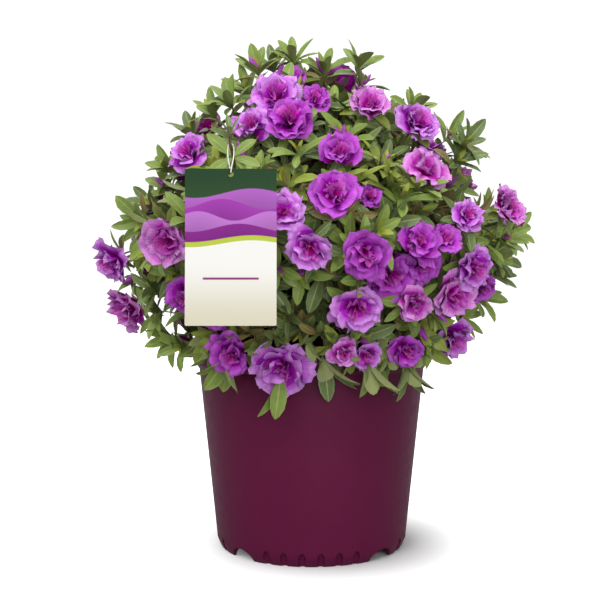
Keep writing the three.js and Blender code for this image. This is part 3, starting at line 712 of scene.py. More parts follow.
def leafy_tips(layer):
    """Spots, facings and depths of a layer of shoots, but for those by a bloom or the tag."""
    count = layer["count"]
    draw = np.random.default_rng(SEED + layer["seed"])
    bearing, height = spiral_spots(count)
    bearing = bearing + BEARING_SCATTER * (draw.random(count) - 0.5)
    height = height + HEIGHT_SCATTER * (draw.random(count) - 0.5)
    height = np.clip(height, CROWN_HEM, CROWN_TOP - BELOW_TOP)
    outline = crown_points(bearing, height, np.zeros(count))
    normals = outline_normal(bearing, height)
    edge_on = near_skyline(outline, normals)
    inset = layer["inset"] + layer["range"] * draw.random(count)
    inset += np.where(edge_on, 0, BAY_DEPTH * bays(outline))
    setback = np.where(edge_on, SKYLINE_SETBACK, 0) + hollows(outline)
    points = crown_points(bearing, height, inset + setback)
    gaps = np.linalg.norm(points[:, None] - BLOOM_SPOTS[None], axis=2) - BLOOM_WIDTHS / 2
    free = gaps.min(axis=1) > layer["near"] - BLOOM_OVERLAP
    free &= ~in_tag_zone(points) & ~in_pot(points)
    upward = np.where(points[:, 2] > RIM_CLEAR_HEIGHT, LIFT_ABOVE_RIM, LIFT_BELOW_RIM)
    facing = normals + FACING_SCATTER * draw.normal(size=points.shape)
    facing[:, 2] += upward
    return points[free], unit(facing[free]), inset[free]


def skyline_tips():
    across, height = np.array(SKYLINE_SHOOTS).T
    draw = draws_for("skyline")
    depth = SKYLINE_DEPTH + SKYLINE_SCATTER * (draw.random(len(across)) - 0.5)
    points = np.stack([across, depth, height], axis=1)
    outward = unit(points - (0, 0, WIDEST_HEIGHT))
    return points, unit(outward + SKYLINE_LEAN), np.zeros(len(points))


def hanging_tips():
    across, height = np.array(HANGING_TIPS + HEM_TIPS).T
    bearing = front_bearing(across, height)
    points = crown_points(bearing, height, np.full(len(height), HANGING_INSET))
    return points, unit(at_bearing(bearing, 1.0, -HANGING_DROOP))


def stem_points(masses, share):
    return FAN_CENTRE + DIRECTIONS[masses] * (LENGTHS[masses] * share)[:, None]


def twig_paths(ends, axes):
    """Paths of the twigs that branch from the stems, to the ends given."""
    masses = owner_of(ends)
    level = np.sum(unit(ends - FAN_CENTRE) * DIRECTIONS[masses], axis=1)
    off_axis = np.degrees(np.arccos(np.clip(level, -1, 1)))
    lower = np.minimum(LOWEST_TWIG, off_axis / TWIG_SPREAD)
    share = STEM_SHARE - (STEM_SHARE - BOUGH_SHARE) * lower
    starts = stem_points(masses, share)
    reach = np.linalg.norm(ends - starts, axis=1, keepdims=True)
    bends = ends - axes * TWIG_BEND_SHARE * reach
    paths = curve_between(np.stack([starts, bends, ends], axis=1), TWIG_POINTS)
    low = ends[:, 2] < RIM_CLEAR_HEIGHT
    flat = unit(ends * (1, 1, 0))
    over = flat * RIM_CLEAR_RADIUS + (0, 0, RIM_CLEAR_HEIGHT + RIM_CLEAR_RISE)
    hung = curve_between(np.stack([starts, over, over, ends], axis=1), TWIG_POINTS)
    return np.where(low[:, None, None], hung, paths)


def shoot_paths(ends, axes, parents):
    """Paths of the finer shoots, each from the nearest twig of its own mass."""
    joints = parents[:, 2:-1].reshape(-1, 3)
    owners = np.repeat(owner_of(parents[:, -1]), parents.shape[1] - 3)
    gaps = np.linalg.norm(ends[:, None] - joints[None], axis=2)
    gaps += np.where(owners[None] == owner_of(ends)[:, None], 0, OTHER_MASS_COST)
    joint_reach = np.linalg.norm(joints - FAN_CENTRE, axis=1)[None]
    end_reach = np.linalg.norm(ends - FAN_CENTRE, axis=1)[:, None]
    gaps += np.where(joint_reach < end_reach - LEAST_SHOOT_RISE, 0, OUTER_JOINT_COST)
    starts = joints[np.argmin(gaps, axis=1)]
    reach = np.linalg.norm(ends - starts, axis=1, keepdims=True)
    bends = ends - axes * TWIG_BEND_SHARE * reach
    return curve_between(np.stack([starts, bends, ends], axis=1), SHOOT_POINTS)


def stacked(layers):
    """Layers of like arrays as one of each."""
    return [np.concatenate(arrays) for arrays in zip(*layers)]


@functools.cache
def grow():
    """All tips with their twigs. Blooms come first, then leafy main tips, then fine shoots."""
    main_spots, main_axes, main_insets = stacked([leafy_tips(layer) for layer in MAIN_TIPS])
    hung_spots, hung_axes = hanging_tips()
    twig_ends = np.concatenate([BLOOM_BASES, main_spots, hung_spots])
    twig_axes = np.concatenate([BLOOM_FACINGS, main_axes, hung_axes])
    twigs = twig_paths(twig_ends, twig_axes)
    layers = [skyline_tips()] + [leafy_tips(layer) for layer in FINE_SHOOTS]
    fine_spots, fine_axes, fine_insets = stacked(layers)
    apart = spaced(fine_spots, SHOOT_SPACING, main_spots)
    apart[:len(SKYLINE_SHOOTS)] = True
    fine_spots, fine_axes, fine_insets = fine_spots[apart], fine_axes[apart], fine_insets[apart]
    shoots = shoot_paths(fine_spots, fine_axes, twigs)
    clear = ~in_tag_zone(shoots, THIN_ROOM).any(axis=1)
    clear &= ~in_pot(shoots[:, 1:], 0.0).any(axis=1)
    return {
        "twigs": twigs,
        "shoots": shoots[clear],
        "leafy_spots": np.concatenate([main_spots, fine_spots[clear]]),
        "leafy_axes": np.concatenate([main_axes, fine_axes[clear]]),
        "leafy_insets": np.concatenate([main_insets, fine_insets[clear]]),
        "hung_spots": hung_spots,
        "hung_axes": hung_axes,
    }


# Leaves

LEAF_ROWS = np.array((0.0, 0.14, 0.34, 0.56, 0.76, 0.92, 1.0))
LEAF_HALF_WIDTHS = np.array((0.12, 0.40, 0.81, 1.0, 0.86, 0.45, 0.04))
LEAF_COLUMNS = np.array((-1.0, -0.085, 0.085, 1.0))
LEAF_RIPPLE = (7, 2)

# Each piece of leaves, and the rings of masses that it stands for
LEAF_PIECES = {
    "leaves_above": ("top", "upper"),
    "leaves_between": ("middle",),
    "leaves_below": ("low",),
}

# Whorls: how far the leaves lean away from the shoot and how much that varies, in degrees, their
# size as a share of a full-grown leaf and how much that varies, and how far back on the shoot
# they may sit
SPREADING = {"spread": 56, "spread_range": 54, "size": 1.0, "size_range": 0.50, "back": 0.009}
RISEN = {"spread": 44, "spread_range": 50, "size": 1.04, "size_range": 0.26, "back": 0.007}
OLDER = {"spread": 84, "spread_range": 30, "size": 0.92, "size_range": 0.24, "back": 0.016}
YOUNG = {"spread": 20, "spread_range": 24, "size": 0.50, "size_range": 0.24, "back": 0.001}
HUNG = {"spread": 30, "spread_range": 36, "size": 1.0, "size_range": 0.2, "back": 0.012}
COLLAR = {"spread": 84, "spread_range": 22, "size": 0.94, "size_range": 0.22, "back": 0.004}
TWIG_END = {"spread": 34, "spread_range": 30, "size": 0.56, "size_range": 0.20, "back": 0.001}
TWIG_SIDE = {"spread": 66, "spread_range": 30, "size": 0.86, "size_range": 0.20, "back": 0.001}
OLDER_LEAVES = 2
HUNG_LEAVES = 6
HUNG_LENGTHENED = 1.45
HUNG_WIDENED = 1.65
COLLAR_LEAVES = 5

# Whorls of the twig that carries the tag: at which of its joints, how many leaves, and which kind
TAG_TWIG_WHORLS = ((-1, 6, TWIG_END), (6, 4, TWIG_SIDE))

# The rest of a leaf's shape: least value and range, angles in degrees
LEAF_ARCH = (4, 30)
LEAF_FOLD = (10, 22)
LEAF_TWIST_RANGE = 50
LEAF_WAVE = 0.10
LEAF_WIDTH_RANGE = 0.30
LEAF_PLACE_RANGE = 0.45

# Room that leaves leave to the petals, as shares of a bloom's width
PETAL_SPACE = {"behind": 0.12, "aside": 0.40, "back": -0.20, "front": 0.5}

# Numbers of the greens, in the order of the leaf materials, and how often a whorl has the first
# three
DEEP_GREEN, MIDDLE_GREEN, LIGHT_GREEN, YOUNG_GREEN, BRONZE, RIB = range(6)
GREEN_SHARES = (0.3, 0.45, 0.25)


def bent_spine(blades, lean, rows):
    """The middle line of each blade, which leaves its axis by the lean at each row."""
    steps = np.diff(rows)
    middle = (lean[:, 1:] + lean[:, :-1]) / 2
    nought = np.zeros((len(lean), 1))
    out = np.concatenate([nought, np.cumsum(np.sin(middle) * steps, axis=1)], axis=1)[..., None]
    high = np.concatenate([nought, np.cumsum(np.cos(middle) * steps, axis=1)], axis=1)[..., None]
    reach = blades["out"][:, None] * out + blades["axis"][:, None] * high
    return blades["origin"][:, None] + reach * blades["length"][:, None, None]


def blade_face(blades, lean):
    """The way that the upper side of each blade looks, row by row."""
    return (blades["axis"][:, None] * np.sin(lean)[..., None]
            - blades["out"][:, None] * np.cos(lean)[..., None])


def leaf_points(leaves):
    """Points of all the leaves: rows from root to tip, columns from side to side."""
    lean = leaves["lean"][:, None] + leaves["arch"][:, None] * LEAF_ROWS
    side = np.cross(leaves["axis"], leaves["out"])
    spine = bent_spine(leaves, lean, LEAF_ROWS)
    face = blade_face(leaves, lean)
    turn = leaves["twist"][:, None] * LEAF_ROWS
    across = side[:, None] * np.cos(turn)[..., None] + face * np.sin(turn)[..., None]
    half = leaves["width"][:, None] / 2 * LEAF_HALF_WIDTHS
    fold = leaves["fold"][:, None]
    sideways = half[..., None] * LEAF_COLUMNS * np.cos(fold)[..., None]
    raised = half[..., None] * np.abs(LEAF_COLUMNS) * np.sin(fold)[..., None]
    ripple = np.sin(LEAF_RIPPLE[0] * LEAF_ROWS[:, None] + LEAF_RIPPLE[1] * LEAF_COLUMNS)
    wave = leaves["wave"][:, None, None] * half[..., None] * ripple
    return (spine[:, :, None] + across[:, :, None] * sideways[..., None]
            + face[:, :, None] * (raised + wave * np.abs(LEAF_COLUMNS))[..., None])


def whorl(draw, spots, axes, count, spread, spread_range, size, size_range, back):
    """Leaves round the end of each shoot, from a little way back along it."""
    shoots = len(spots)
    total = shoots * count
    start = 2 * np.pi * draw.random(shoots)
    place = np.arange(count) + LEAF_PLACE_RANGE * (draw.random((shoots, count)) - 0.5)
    turn = start[:, None] + 2 * np.pi * place / count
    axis = np.repeat(axes, count, axis=0)
    scale = size + size_range * (draw.random(total) - 0.5)
    return {
        "origin": np.repeat(spots, count, axis=0) - axis * (back * draw.random(total))[:, None],
        "axis": axis,
        "out": square_to(axis, turn.ravel()),
        "lean": np.radians(spread + spread_range * (draw.random(total) - 0.5)),
        "arch": np.radians(LEAF_ARCH[0] + LEAF_ARCH[1] * draw.random(total)),
        "length": scale,
        "width": scale * (1 + LEAF_WIDTH_RANGE * (draw.random(total) - 0.5)),
        "fold": np.radians(LEAF_FOLD[0] + LEAF_FOLD[1] * draw.random(total)),
        "twist": np.radians(LEAF_TWIST_RANGE * (draw.random(total) - 0.5)),
        "wave": LEAF_WAVE * draw.random(total),
        "tint": np.repeat(draw.choice(len(GREEN_SHARES), shoots, p=GREEN_SHARES), count),
    }


def joined(groups):
    return {key: np.concatenate([group[key] for group in groups]) for key in groups[0]}


def kept(leaves, mask):
    return {key: values[mask] for key, values in leaves.items()}


def near_blooms(points):
    """Whether points are inside the space that the petals of a bloom take up."""
    inside = np.zeros(points.shape[:-1], dtype=bool)
    for spot, facing, width in zip(BLOOM_SPOTS, BLOOM_FACINGS, BLOOM_WIDTHS):
        reach = points - (spot - facing * PETAL_SPACE["behind"] * width)
        along = reach @ facing
        away = np.sqrt(np.maximum(np.sum(reach * reach, axis=-1) - along * along, 0))
        level = (along > PETAL_SPACE["back"] * width) & (along < PETAL_SPACE["front"] * width)
        inside |= (away < PETAL_SPACE["aside"] * width) & level
    return inside


def make_leaves(growth, sizes):
    draw = draws_for("leaves")
    spots, axes = growth["leafy_spots"], growth["leafy_axes"]
    deep = growth["leafy_insets"] > DEEP_INSET
    bold = growth["leafy_insets"] == 0
    spreading = whorl(draw, spots[~bold], axes[~bold], sizes.whorl_leaves, **SPREADING)
    # Painted shade: the whorls deep inside the crown take the deep green, and the bronze in place
    # of the light green
    inner = np.repeat(deep[~bold], sizes.whorl_leaves)
    shaded = spreading["tint"][inner]
    spreading["tint"][inner] = np.where(shaded == LIGHT_GREEN, BRONZE, DEEP_GREEN)
    risen = whorl(draw, spots[bold], axes[bold], sizes.whorl_leaves + 1, **RISEN)
    # The whorls that stand out on the skyline take no light green, as painted shade against the
    # light from above
    risen["tint"] = np.minimum(risen["tint"], MIDDLE_GREEN)
    older = whorl(draw, spots, axes, OLDER_LEAVES, **OLDER)
    older["tint"] = np.where(older["tint"] == LIGHT_GREEN, DEEP_GREEN, BRONZE)
    young = whorl(draw, spots[~deep], axes[~deep], sizes.young_leaves, **YOUNG)
    young["tint"][:] = YOUNG_GREEN
    hung = whorl(draw, growth["hung_spots"], growth["hung_axes"], HUNG_LEAVES, **HUNG)
    hung["length"][:HUNG_LEAVES * len(HANGING_TIPS)] *= HUNG_LENGTHENED
    hung["width"][:HUNG_LEAVES * len(HANGING_TIPS)] *= HUNG_WIDENED
    hung["tint"] = np.minimum(hung["tint"], MIDDLE_GREEN)
    collars = whorl(draw, BLOOM_BASES, BLOOM_FACINGS, COLLAR_LEAVES, **COLLAR)
    groups = [spreading, risen, older, young, hung, collars]
    holder = tag_twig()
    for joint, count, settings in TAG_TWIG_WHORLS:
        way = unit(holder[:, joint] - holder[:, joint - 1])
        groups.append(whorl(draw, holder[:, joint], way, count, **settings))
    leaves = joined(groups)
    leaves["width"] = leaves["width"] * sizes.leaf_width
    leaves["length"] = leaves["length"] * sizes.leaf_length
    points = leaf_points(leaves)
    grown = points.reshape(len(points), -1, 3)
    free = ~(in_tag_zone(grown).any(axis=1) | in_pot(grown).any(axis=1))
    outer_half = points[:, len(LEAF_ROWS) // 2:, 1]
    free &= ~near_blooms(outer_half).any(axis=1)
    return kept(leaves, free), points[free]


# Blooms and buds

PETAL_ROWS = np.array((0.0, 0.26, 0.50, 0.70, 0.87, 1.0))
PETAL_COLUMNS = np.linspace(-1, 1, 11)
PETAL_SWEEP = 1.3
PETAL_ZONES = np.array((
    (0, 0, 0, 0, 0, 0, 0, 0, 0, 0),
    (1, 1, 1, 0, 0, 0, 0, 1, 1, 1),
    (2, 1, 1, 1, 1, 1, 1, 1, 1, 2),
    (3, 2, 2, 2, 2, 2, 2, 2, 2, 3),
    (3, 3, 3, 3, 3, 3, 3, 3, 3, 3),
))
ZONE_NAMES = ("throat", "middle", "outer", "edge")
ZONE_SPANS = ((0.05, 0.40), (0.20, 0.65), (0.58, 0.98), (0.70, 1.0))
DEEP_TINT = 2
HEART_TINT = 3

# Rings of petals from the outer one to the heart: length and width as shares of the bloom's
# width, lean and bend in degrees, cup and ruffle as shares of the petal, and the ring's turn
# against the outer one in radians
PETAL_RINGS = (
    {"length": 0.61, "width": 0.58, "lean": 28, "bend": 72,
     "cup": 0, "ruffle": 0.10, "turn": 0},
    {"length": 0.55, "width": 0.48, "lean": 20, "bend": 62,
     "cup": 0.1, "ruffle": 0.13, "turn": 0.6},
    {"length": 0.47, "width": 0.36, "lean": 10, "bend": 44,
     "cup": 0.3, "ruffle": 0.17, "turn": 0.2},
    {"length": 0.40, "width": 0.26, "lean": 4, "bend": 34,
     "cup": 0.45, "ruffle": 0.18, "turn": 1.1},
)
HEART_PETALS = 2
HEART_RINGS = 2
PETAL_ROOM = 0.0005

# How much each of these varies from petal to petal
PETAL_PLACE_RANGE = 0.30
PETAL_AXIS_SCATTER = 0.13
PETAL_LENGTH_RANGE = 0.18
PETAL_WIDTH_RANGE = 0.34
PETAL_LEAN_RANGE = 16
PETAL_BEND_RANGE = 52
PETAL_CUP_RANGE = 0.3
PETAL_RUFFLE_SHARES = (0.6, 0.8)
DEEPEST_NOTCH = 1.6

# A petal's blade: its claw's width, the share of its length at which it is widest, how its bend
# grows, how deep the edge is notched, and how often and how far it ruffles
CLAW_WIDTH = 0.15
WIDEST_AT = 0.7
BEND_POWER = 1.3
NOTCH_DEPTH = 0.030
NOTCH_LIFT = 0.45
RUFFLE_WAVES = (4.6, 9.6)
RUFFLE_MIDDLE = 0.4
FINE_RUFFLE = 0.6
CUP_LOSS = 0.6


def petal_points(petals):
    """Points of all the petals: rows from claw to edge, columns from side to side."""
    rise = PETAL_ROWS[:, None]
    aside = PETAL_COLUMNS
    size = petals["length"][:, None, None]
    phase = petals["phase"][:, None, None]
    lean = petals["lean"][:, None] + petals["bend"][:, None] * PETAL_ROWS ** BEND_POWER
    side = np.cross(petals["axis"], petals["out"])
    spine = bent_spine(petals, lean, PETAL_ROWS)
    face = blade_face(petals, lean)
    along = np.cross(side[:, None], face)
    spread = np.sin(np.minimum(rise / WIDEST_AT, 1) * np.pi / 2)
    half = petals["width"][:, None, None] / 2 * (CLAW_WIDTH + (1 - CLAW_WIDTH) * spread)
    notches = petals["notches"][:, None]
    sweep = PETAL_SWEEP * aside
    drawn = half * (np.cos(sweep) - 1) / np.sin(PETAL_SWEEP) * rise ** 2
    drawn = drawn + NOTCH_DEPTH * size * rise ** 5 * notches
    coarse = np.sin(RUFFLE_WAVES[0] * aside + phase)
    coarse = coarse * (RUFFLE_MIDDLE + (1 - RUFFLE_MIDDLE) * np.abs(aside))
    fine = FINE_RUFFLE * rise * np.sin(RUFFLE_WAVES[1] * aside - 2 * phase)
    ruffle = coarse + fine + NOTCH_LIFT * rise * notches[:, :, ::-1]
    raised = size * petals["ruffle"][:, None, None] * rise ** 2 * ruffle
    raised = raised + petals["cup"][:, None, None] * half * aside ** 2 * (1 - CUP_LOSS * rise)
    sideways = half * np.sin(sweep) / np.sin(PETAL_SWEEP)
    return (spine[:, :, None] + side[:, None, None] * sideways[..., None]
            + face[:, :, None] * raised[..., None] + along[:, :, None] * drawn[..., None])


# How far each bloom has opened, as a share of the full bend of its petals
OPENNESS = np.resize((1.0, 0.86, 1.06, 0.78, 0.96, 1.04, 0.70), len(BLOOM_WIDTHS))

# Tint of each bloom, with the half hidden ones deep: the deep tint is some blooms' own darker tone,
# and painted shade on the half hidden ones among the leaves
BLOOM_TINTS = np.arange(len(BLOOM_WIDTHS)) * 5 % 7 % 3
BLOOM_TINTS[len(FRONT_BLOOMS):len(FRONT_BLOOMS) + len(HALF_HIDDEN_BLOOMS)] = DEEP_TINT


def petal_ring(draw, start, full, count, ring):
    """A ring of petals in every bloom."""
    blooms = len(BLOOM_WIDTHS)
    total = blooms * count
    place = np.arange(count) + PETAL_PLACE_RANGE * (draw.random((blooms, count)) - 0.5)
    turn = (start + ring["turn"])[:, None] + 2 * np.pi * place / count
    scatter = PETAL_AXIS_SCATTER * draw.normal(size=(total, 3))
    axis = unit(np.repeat(BLOOM_FACINGS, count, axis=0) + scatter)
    size = np.repeat(BLOOM_WIDTHS, count)
    length = 1 + PETAL_LENGTH_RANGE * (draw.random(total) - 0.5)
    width = 1 + PETAL_WIDTH_RANGE * (draw.random(total) - 0.5)
    lean = ring["lean"] + PETAL_LEAN_RANGE * (draw.random(total) - 0.5)
    bend = ring["bend"] + PETAL_BEND_RANGE * (draw.random(total) - 0.5)
    least, more = PETAL_RUFFLE_SHARES
    return {
        "origin": np.repeat(BLOOM_BASES, count, axis=0),
        "axis": axis,
        "out": square_to(axis, turn.ravel()),
        "length": size * (ring["length"] * full) * length,
        "width": size * (ring["width"] * full) * width,
        "lean": np.radians(lean),
        "bend": np.radians(bend) * np.repeat(OPENNESS, count),
        "cup": ring["cup"] + PETAL_CUP_RANGE * (draw.random(total) - 0.5),
        "ruffle": ring["ruffle"] * (least + more * draw.random(total)),
        "phase": 2 * np.pi * draw.random(total),
        "notches": np.clip(draw.normal(size=(total, len(PETAL_COLUMNS))),
                           -DEEPEST_NOTCH, DEEPEST_NOTCH),
        "tint": np.repeat(BLOOM_TINTS, count),
    }


def make_petals(sizes):
    draw = draws_for("petals")
    start = 2 * np.pi * draw.random(len(BLOOM_WIDTHS))
    counts = (sizes.outer_petals, sizes.middle_petals, sizes.inner_petals, HEART_PETALS)
    groups = []
    for count, ring in zip(counts, PETAL_RINGS):
        groups.append(petal_ring(draw, start, sizes.fullness, count, ring))
    for group in groups[-HEART_RINGS:]:
        group["tint"][:] = HEART_TINT
    petals = joined(groups)
    points = petal_points(petals)
    free = ~in_tag_zone(points, THIN_ROOM).any(axis=(1, 2))
    free &= ~in_pot(points, PETAL_ROOM).any(axis=(1, 2))
    return kept(petals, free), points[free]


# Stamens: how wide they spread, where they start and how far they reach as shares of the bloom's
# width, and their radii from root to end
STAMENS = 6
STAMEN_SPREAD = 0.26
STAMEN_START = 0.1
STAMEN_REACH = (0.38, 0.12)
STAMEN_SAG = 0.002
STAMEN_NECK = 0.94
STAMEN_RADII = (0.0004, 0.0003, 0.0007, 0.0004)
STAMEN_SIDES = 4


def make_stamens():
    """Thin filaments out of the throat of every bloom, each swollen at its end."""
    draw = draws_for("stamens")
    total = len(BLOOM_WIDTHS) * STAMENS
    axis = np.repeat(BLOOM_FACINGS, STAMENS, axis=0)
    size = np.repeat(BLOOM_WIDTHS, STAMENS)[:, None]
    way = unit(axis + square_to(axis, 2 * np.pi * draw.random(total)) * STAMEN_SPREAD)
    starts = np.repeat(BLOOM_BASES, STAMENS, axis=0) + axis * STAMEN_START * size
    least, more = STAMEN_REACH
    ends = starts + way * size * (least + more * draw.random((total, 1)))
    reach = ends - starts
    sagging = starts + 0.5 * reach - way * STAMEN_SAG
    paths = np.stack([starts, sagging, starts + STAMEN_NECK * reach, ends], axis=1)
    free = ~in_tag_zone(paths, THIN_ROOM).any(axis=1)
    radii = np.broadcast_to(STAMEN_RADII, paths.shape[:2])
    points = tube_points(paths[free], radii[free], STAMEN_SIDES)
    return points.reshape(-1, 3), tube_quads(int(free.sum()), len(STAMEN_RADII), STAMEN_SIDES)


# Buds: every third of the outer shoots has one, and every third of these a second
BUD_ROWS = np.array((0.0, 0.12, 0.30, 0.52, 0.76, 0.92, 1.0))
BUD_RADII = np.array((0.30, 0.78, 1.0, 0.96, 0.62, 0.28, 0.06))
BUD_SIDES = 6
BUD_EVERY = 3
BUD_LENGTH = 0.019
BUD_RADIUS = 0.0035
BUD_SIZES = (0.7, 0.6)
BUD_AXIS_SCATTER = 0.4
BUD_ROOM = 0.004


def make_buds(growth):
    """Pointed buds, alone or in twos, at some of the leafy shoots."""
    draw = draws_for("buds")
    chosen = np.flatnonzero(growth["leafy_insets"] < DEEP_INSET)[::BUD_EVERY]
    chosen = np.concatenate([chosen, chosen[::BUD_EVERY]])
    spots = growth["leafy_spots"][chosen]
    scatter = BUD_AXIS_SCATTER * draw.normal(size=(len(chosen), 3))
    axes = unit(growth["leafy_axes"][chosen] + scatter)
    least, more = BUD_SIZES
    size = least + more * draw.random(len(chosen))
    lengthwise = BUD_ROWS[None] * (BUD_LENGTH * size)[:, None]
    paths = spots[:, None] + axes[:, None] * lengthwise[..., None]
    radii = BUD_RADIUS * size[:, None] * BUD_RADII
    free = ~(in_tag_zone(paths, BUD_ROOM).any(axis=1) | in_pot(paths, BUD_ROOM).any(axis=1))
    count = int(free.sum())
    points = tube_points(paths[free], radii[free], BUD_SIDES)
    quads = tube_quads(count, len(BUD_ROWS), BUD_SIDES)
    calyx, violet = 0, 1
    one = np.full(len(quads) // count, violet)
    one[:BUD_SIDES] = calyx
    one[(len(BUD_ROWS) - 1) * BUD_SIDES:-(BUD_SIDES // 2 - 1)] = calyx
    return points.reshape(-1, 3), quads, np.tile(one, count)


# Limbs

def trunk_points(share):
    share = np.asarray(share, dtype=float)
    sway = TRUNK_SWAY * np.sin(share * np.pi)
    rise = TRUNK_LOW.z + (TRUNK_HIGH.z - TRUNK_LOW.z) * share
    return np.stack([TRUNK_LEAN * share * share, -sway, rise], axis=-1)


def bough_paths():
    starts = trunk_points([mass["trunk"] for mass in MASSES])
    ends = stem_points(np.arange(len(MASSES)), BOUGH_SHARE)
    control = (starts + ends) / 2
    control[:, 2] += BOUGH_ARCH * (1 - np.abs(DIRECTIONS[:, 2]))
    return curve_between(np.stack([starts, control, ends], axis=1), BOUGH_POINTS)


def stem_paths():
    order = np.arange(len(MASSES))
    shares = np.linspace(BOUGH_SHARE, STEM_SHARE, STEM_POINTS)
    return np.stack([stem_points(order, share) for share in shares], axis=1)


def furrowed(points, centres, relief, draw):
    """Tube points pushed in and out along their rings, as bark with ridges and knots."""
    away = points - centres[:, :, None]
    tubes, rings, sides = away.shape[:3]
    turn = 2 * np.pi * np.arange(sides) / sides
    step = np.arange(rings)[None, :, None]
    shift = 2 * np.pi * draw.random((tubes, 1, 1))
    broad = np.sin(BROAD_RIDGES * turn + BROAD_TURN * step + shift)
    narrow = np.sin(NARROW_RIDGES * turn + NARROW_TURN * step + 2 * shift)
    ridges = broad + NARROW_SHARE * narrow
    knots = draw.normal(size=(tubes, rings, sides))
    return centres[:, :, None] + away * (1 + relief * (0.5 * ridges + 0.5 * knots))[..., None]


def tubes_of(paths, first_radius, last_radius, sides):
    """Smooth round tubes along the paths, from one radius to the other."""
    shares = np.linspace(0, 1, paths.shape[1])
    radii = np.broadcast_to(first_radius + (last_radius - first_radius) * shares, paths.shape[:2])
    points = tube_points(paths, radii, sides)
    return points.reshape(-1, 3), tube_quads(len(paths), paths.shape[1], sides)


def woody_tubes(name, paths, radii, sides, relief):
    """Tapering tubes with the relief of bark."""
    points, quads = tubes_of(paths, *radii, sides)
    rings = points.reshape(*paths.shape[:2], sides, 3)
    return furrowed(rings, paths, relief, draws_for(name)).reshape(-1, 3), quads


def trunk_tube():
    shares = np.linspace(TRUNK_TAPER[0][0], 1, TRUNK_RINGS)
    radii = np.interp(shares, *np.array(TRUNK_TAPER).T)[None]
    paths = trunk_points(shares)[None]
    centres = paths[:, :, None]
    smooth = tube_points(paths, radii, TRUNK_SIDES)
    points = furrowed(smooth, paths, TRUNK_RELIEF, draws_for("trunk"))
    turn = 2 * np.pi * np.arange(TRUNK_SIDES) / TRUNK_SIDES
    low = np.exp(-np.maximum(shares, 0) / FLARE_REACH)[:, None]
    flare = FLARE_DEPTH * low * np.cos(FLARE_LOBES * turn + FLARE_TURN)
    points = centres + (points - centres) * (1 + np.maximum(flare, 0))[None, ..., None]
    return points.reshape(-1, 3), tube_quads(1, TRUNK_RINGS, TRUNK_SIDES)


def merged(parts):
    """Several sets of points and faces as one, with a number for each set's faces."""
    points = np.concatenate([part[0] for part in parts])
    first = np.cumsum([0] + [len(part[0]) for part in parts[:-1]])
    quads = np.concatenate([part[1] + start for part, start in zip(parts, first)])
    tints = np.concatenate([np.full(len(part[1]), k) for k, part in enumerate(parts)])
    return points, quads, tints


# Tools for modelling by hand

def new_primitive(name, add, **settings):
    """Adds a primitive with nothing else selected, and names it."""
    bpy.ops.object.select_all(action="DESELECT")
    add(**settings)
    piece = bpy.context.active_object
    piece.name = name
    piece.data.name = name
    return piece


def settle(piece):
    """Puts a piece's place, turn and scale into its mesh."""
    select_alone(piece)
    bpy.ops.object.transform_apply(location=True, rotation=True, scale=True)
    return piece


def move_vertices(piece, chosen, shift):
    """Moves those vertices of a piece that a test of their place picks out."""
    select_alone(piece)
    for part in (*piece.data.polygons, *piece.data.edges):
        part.select = False
    for vertex in piece.data.vertices:
        vertex.select = chosen(vertex.co)
    bpy.ops.object.mode_set(mode="EDIT")
    bpy.ops.mesh.select_mode(type="VERT")
    bpy.ops.transform.translate(value=shift)
    bpy.ops.object.mode_set(mode="OBJECT")


def apply_modifier(piece, kind, **settings):
    bpy.context.view_layer.objects.active = piece
    modifier = piece.modifiers.new(kind.title(), kind)
    for key, value in settings.items():
        setattr(modifier, key, value)
    bpy.ops.object.modifier_apply(modifier=modifier.name)


def join_pieces(name, pieces):
    select_alone(pieces[0])
    for piece in pieces[1:]:
        piece.select_set(True)
    bpy.ops.object.join()
    pieces[0].name = name
    return pieces[0]


def cut_away(piece, cutter):
    """Takes the space of a cutter out of a piece, and the cutter out of the scene."""
    apply_modifier(piece, "BOOLEAN", object=cutter, operation="DIFFERENCE", solver="EXACT")
    bpy.data.objects.remove(cutter, do_unlink=True)


def dress(piece, material):
    """Gives a piece one material in place of any that it has."""
    piece.data.materials.clear()
    piece.data.materials.append(material)


def rounded(corner, radius, start, steps=5):
    """Spots of a quarter round about a middle, from an angle in degrees on by 90."""
    turns = [math.radians(start + 90 * k / steps) for k in range(steps + 1)]
    across, rise = corner
    return [(across + radius * math.cos(turn), rise + radius * math.sin(turn)) for turn in turns]


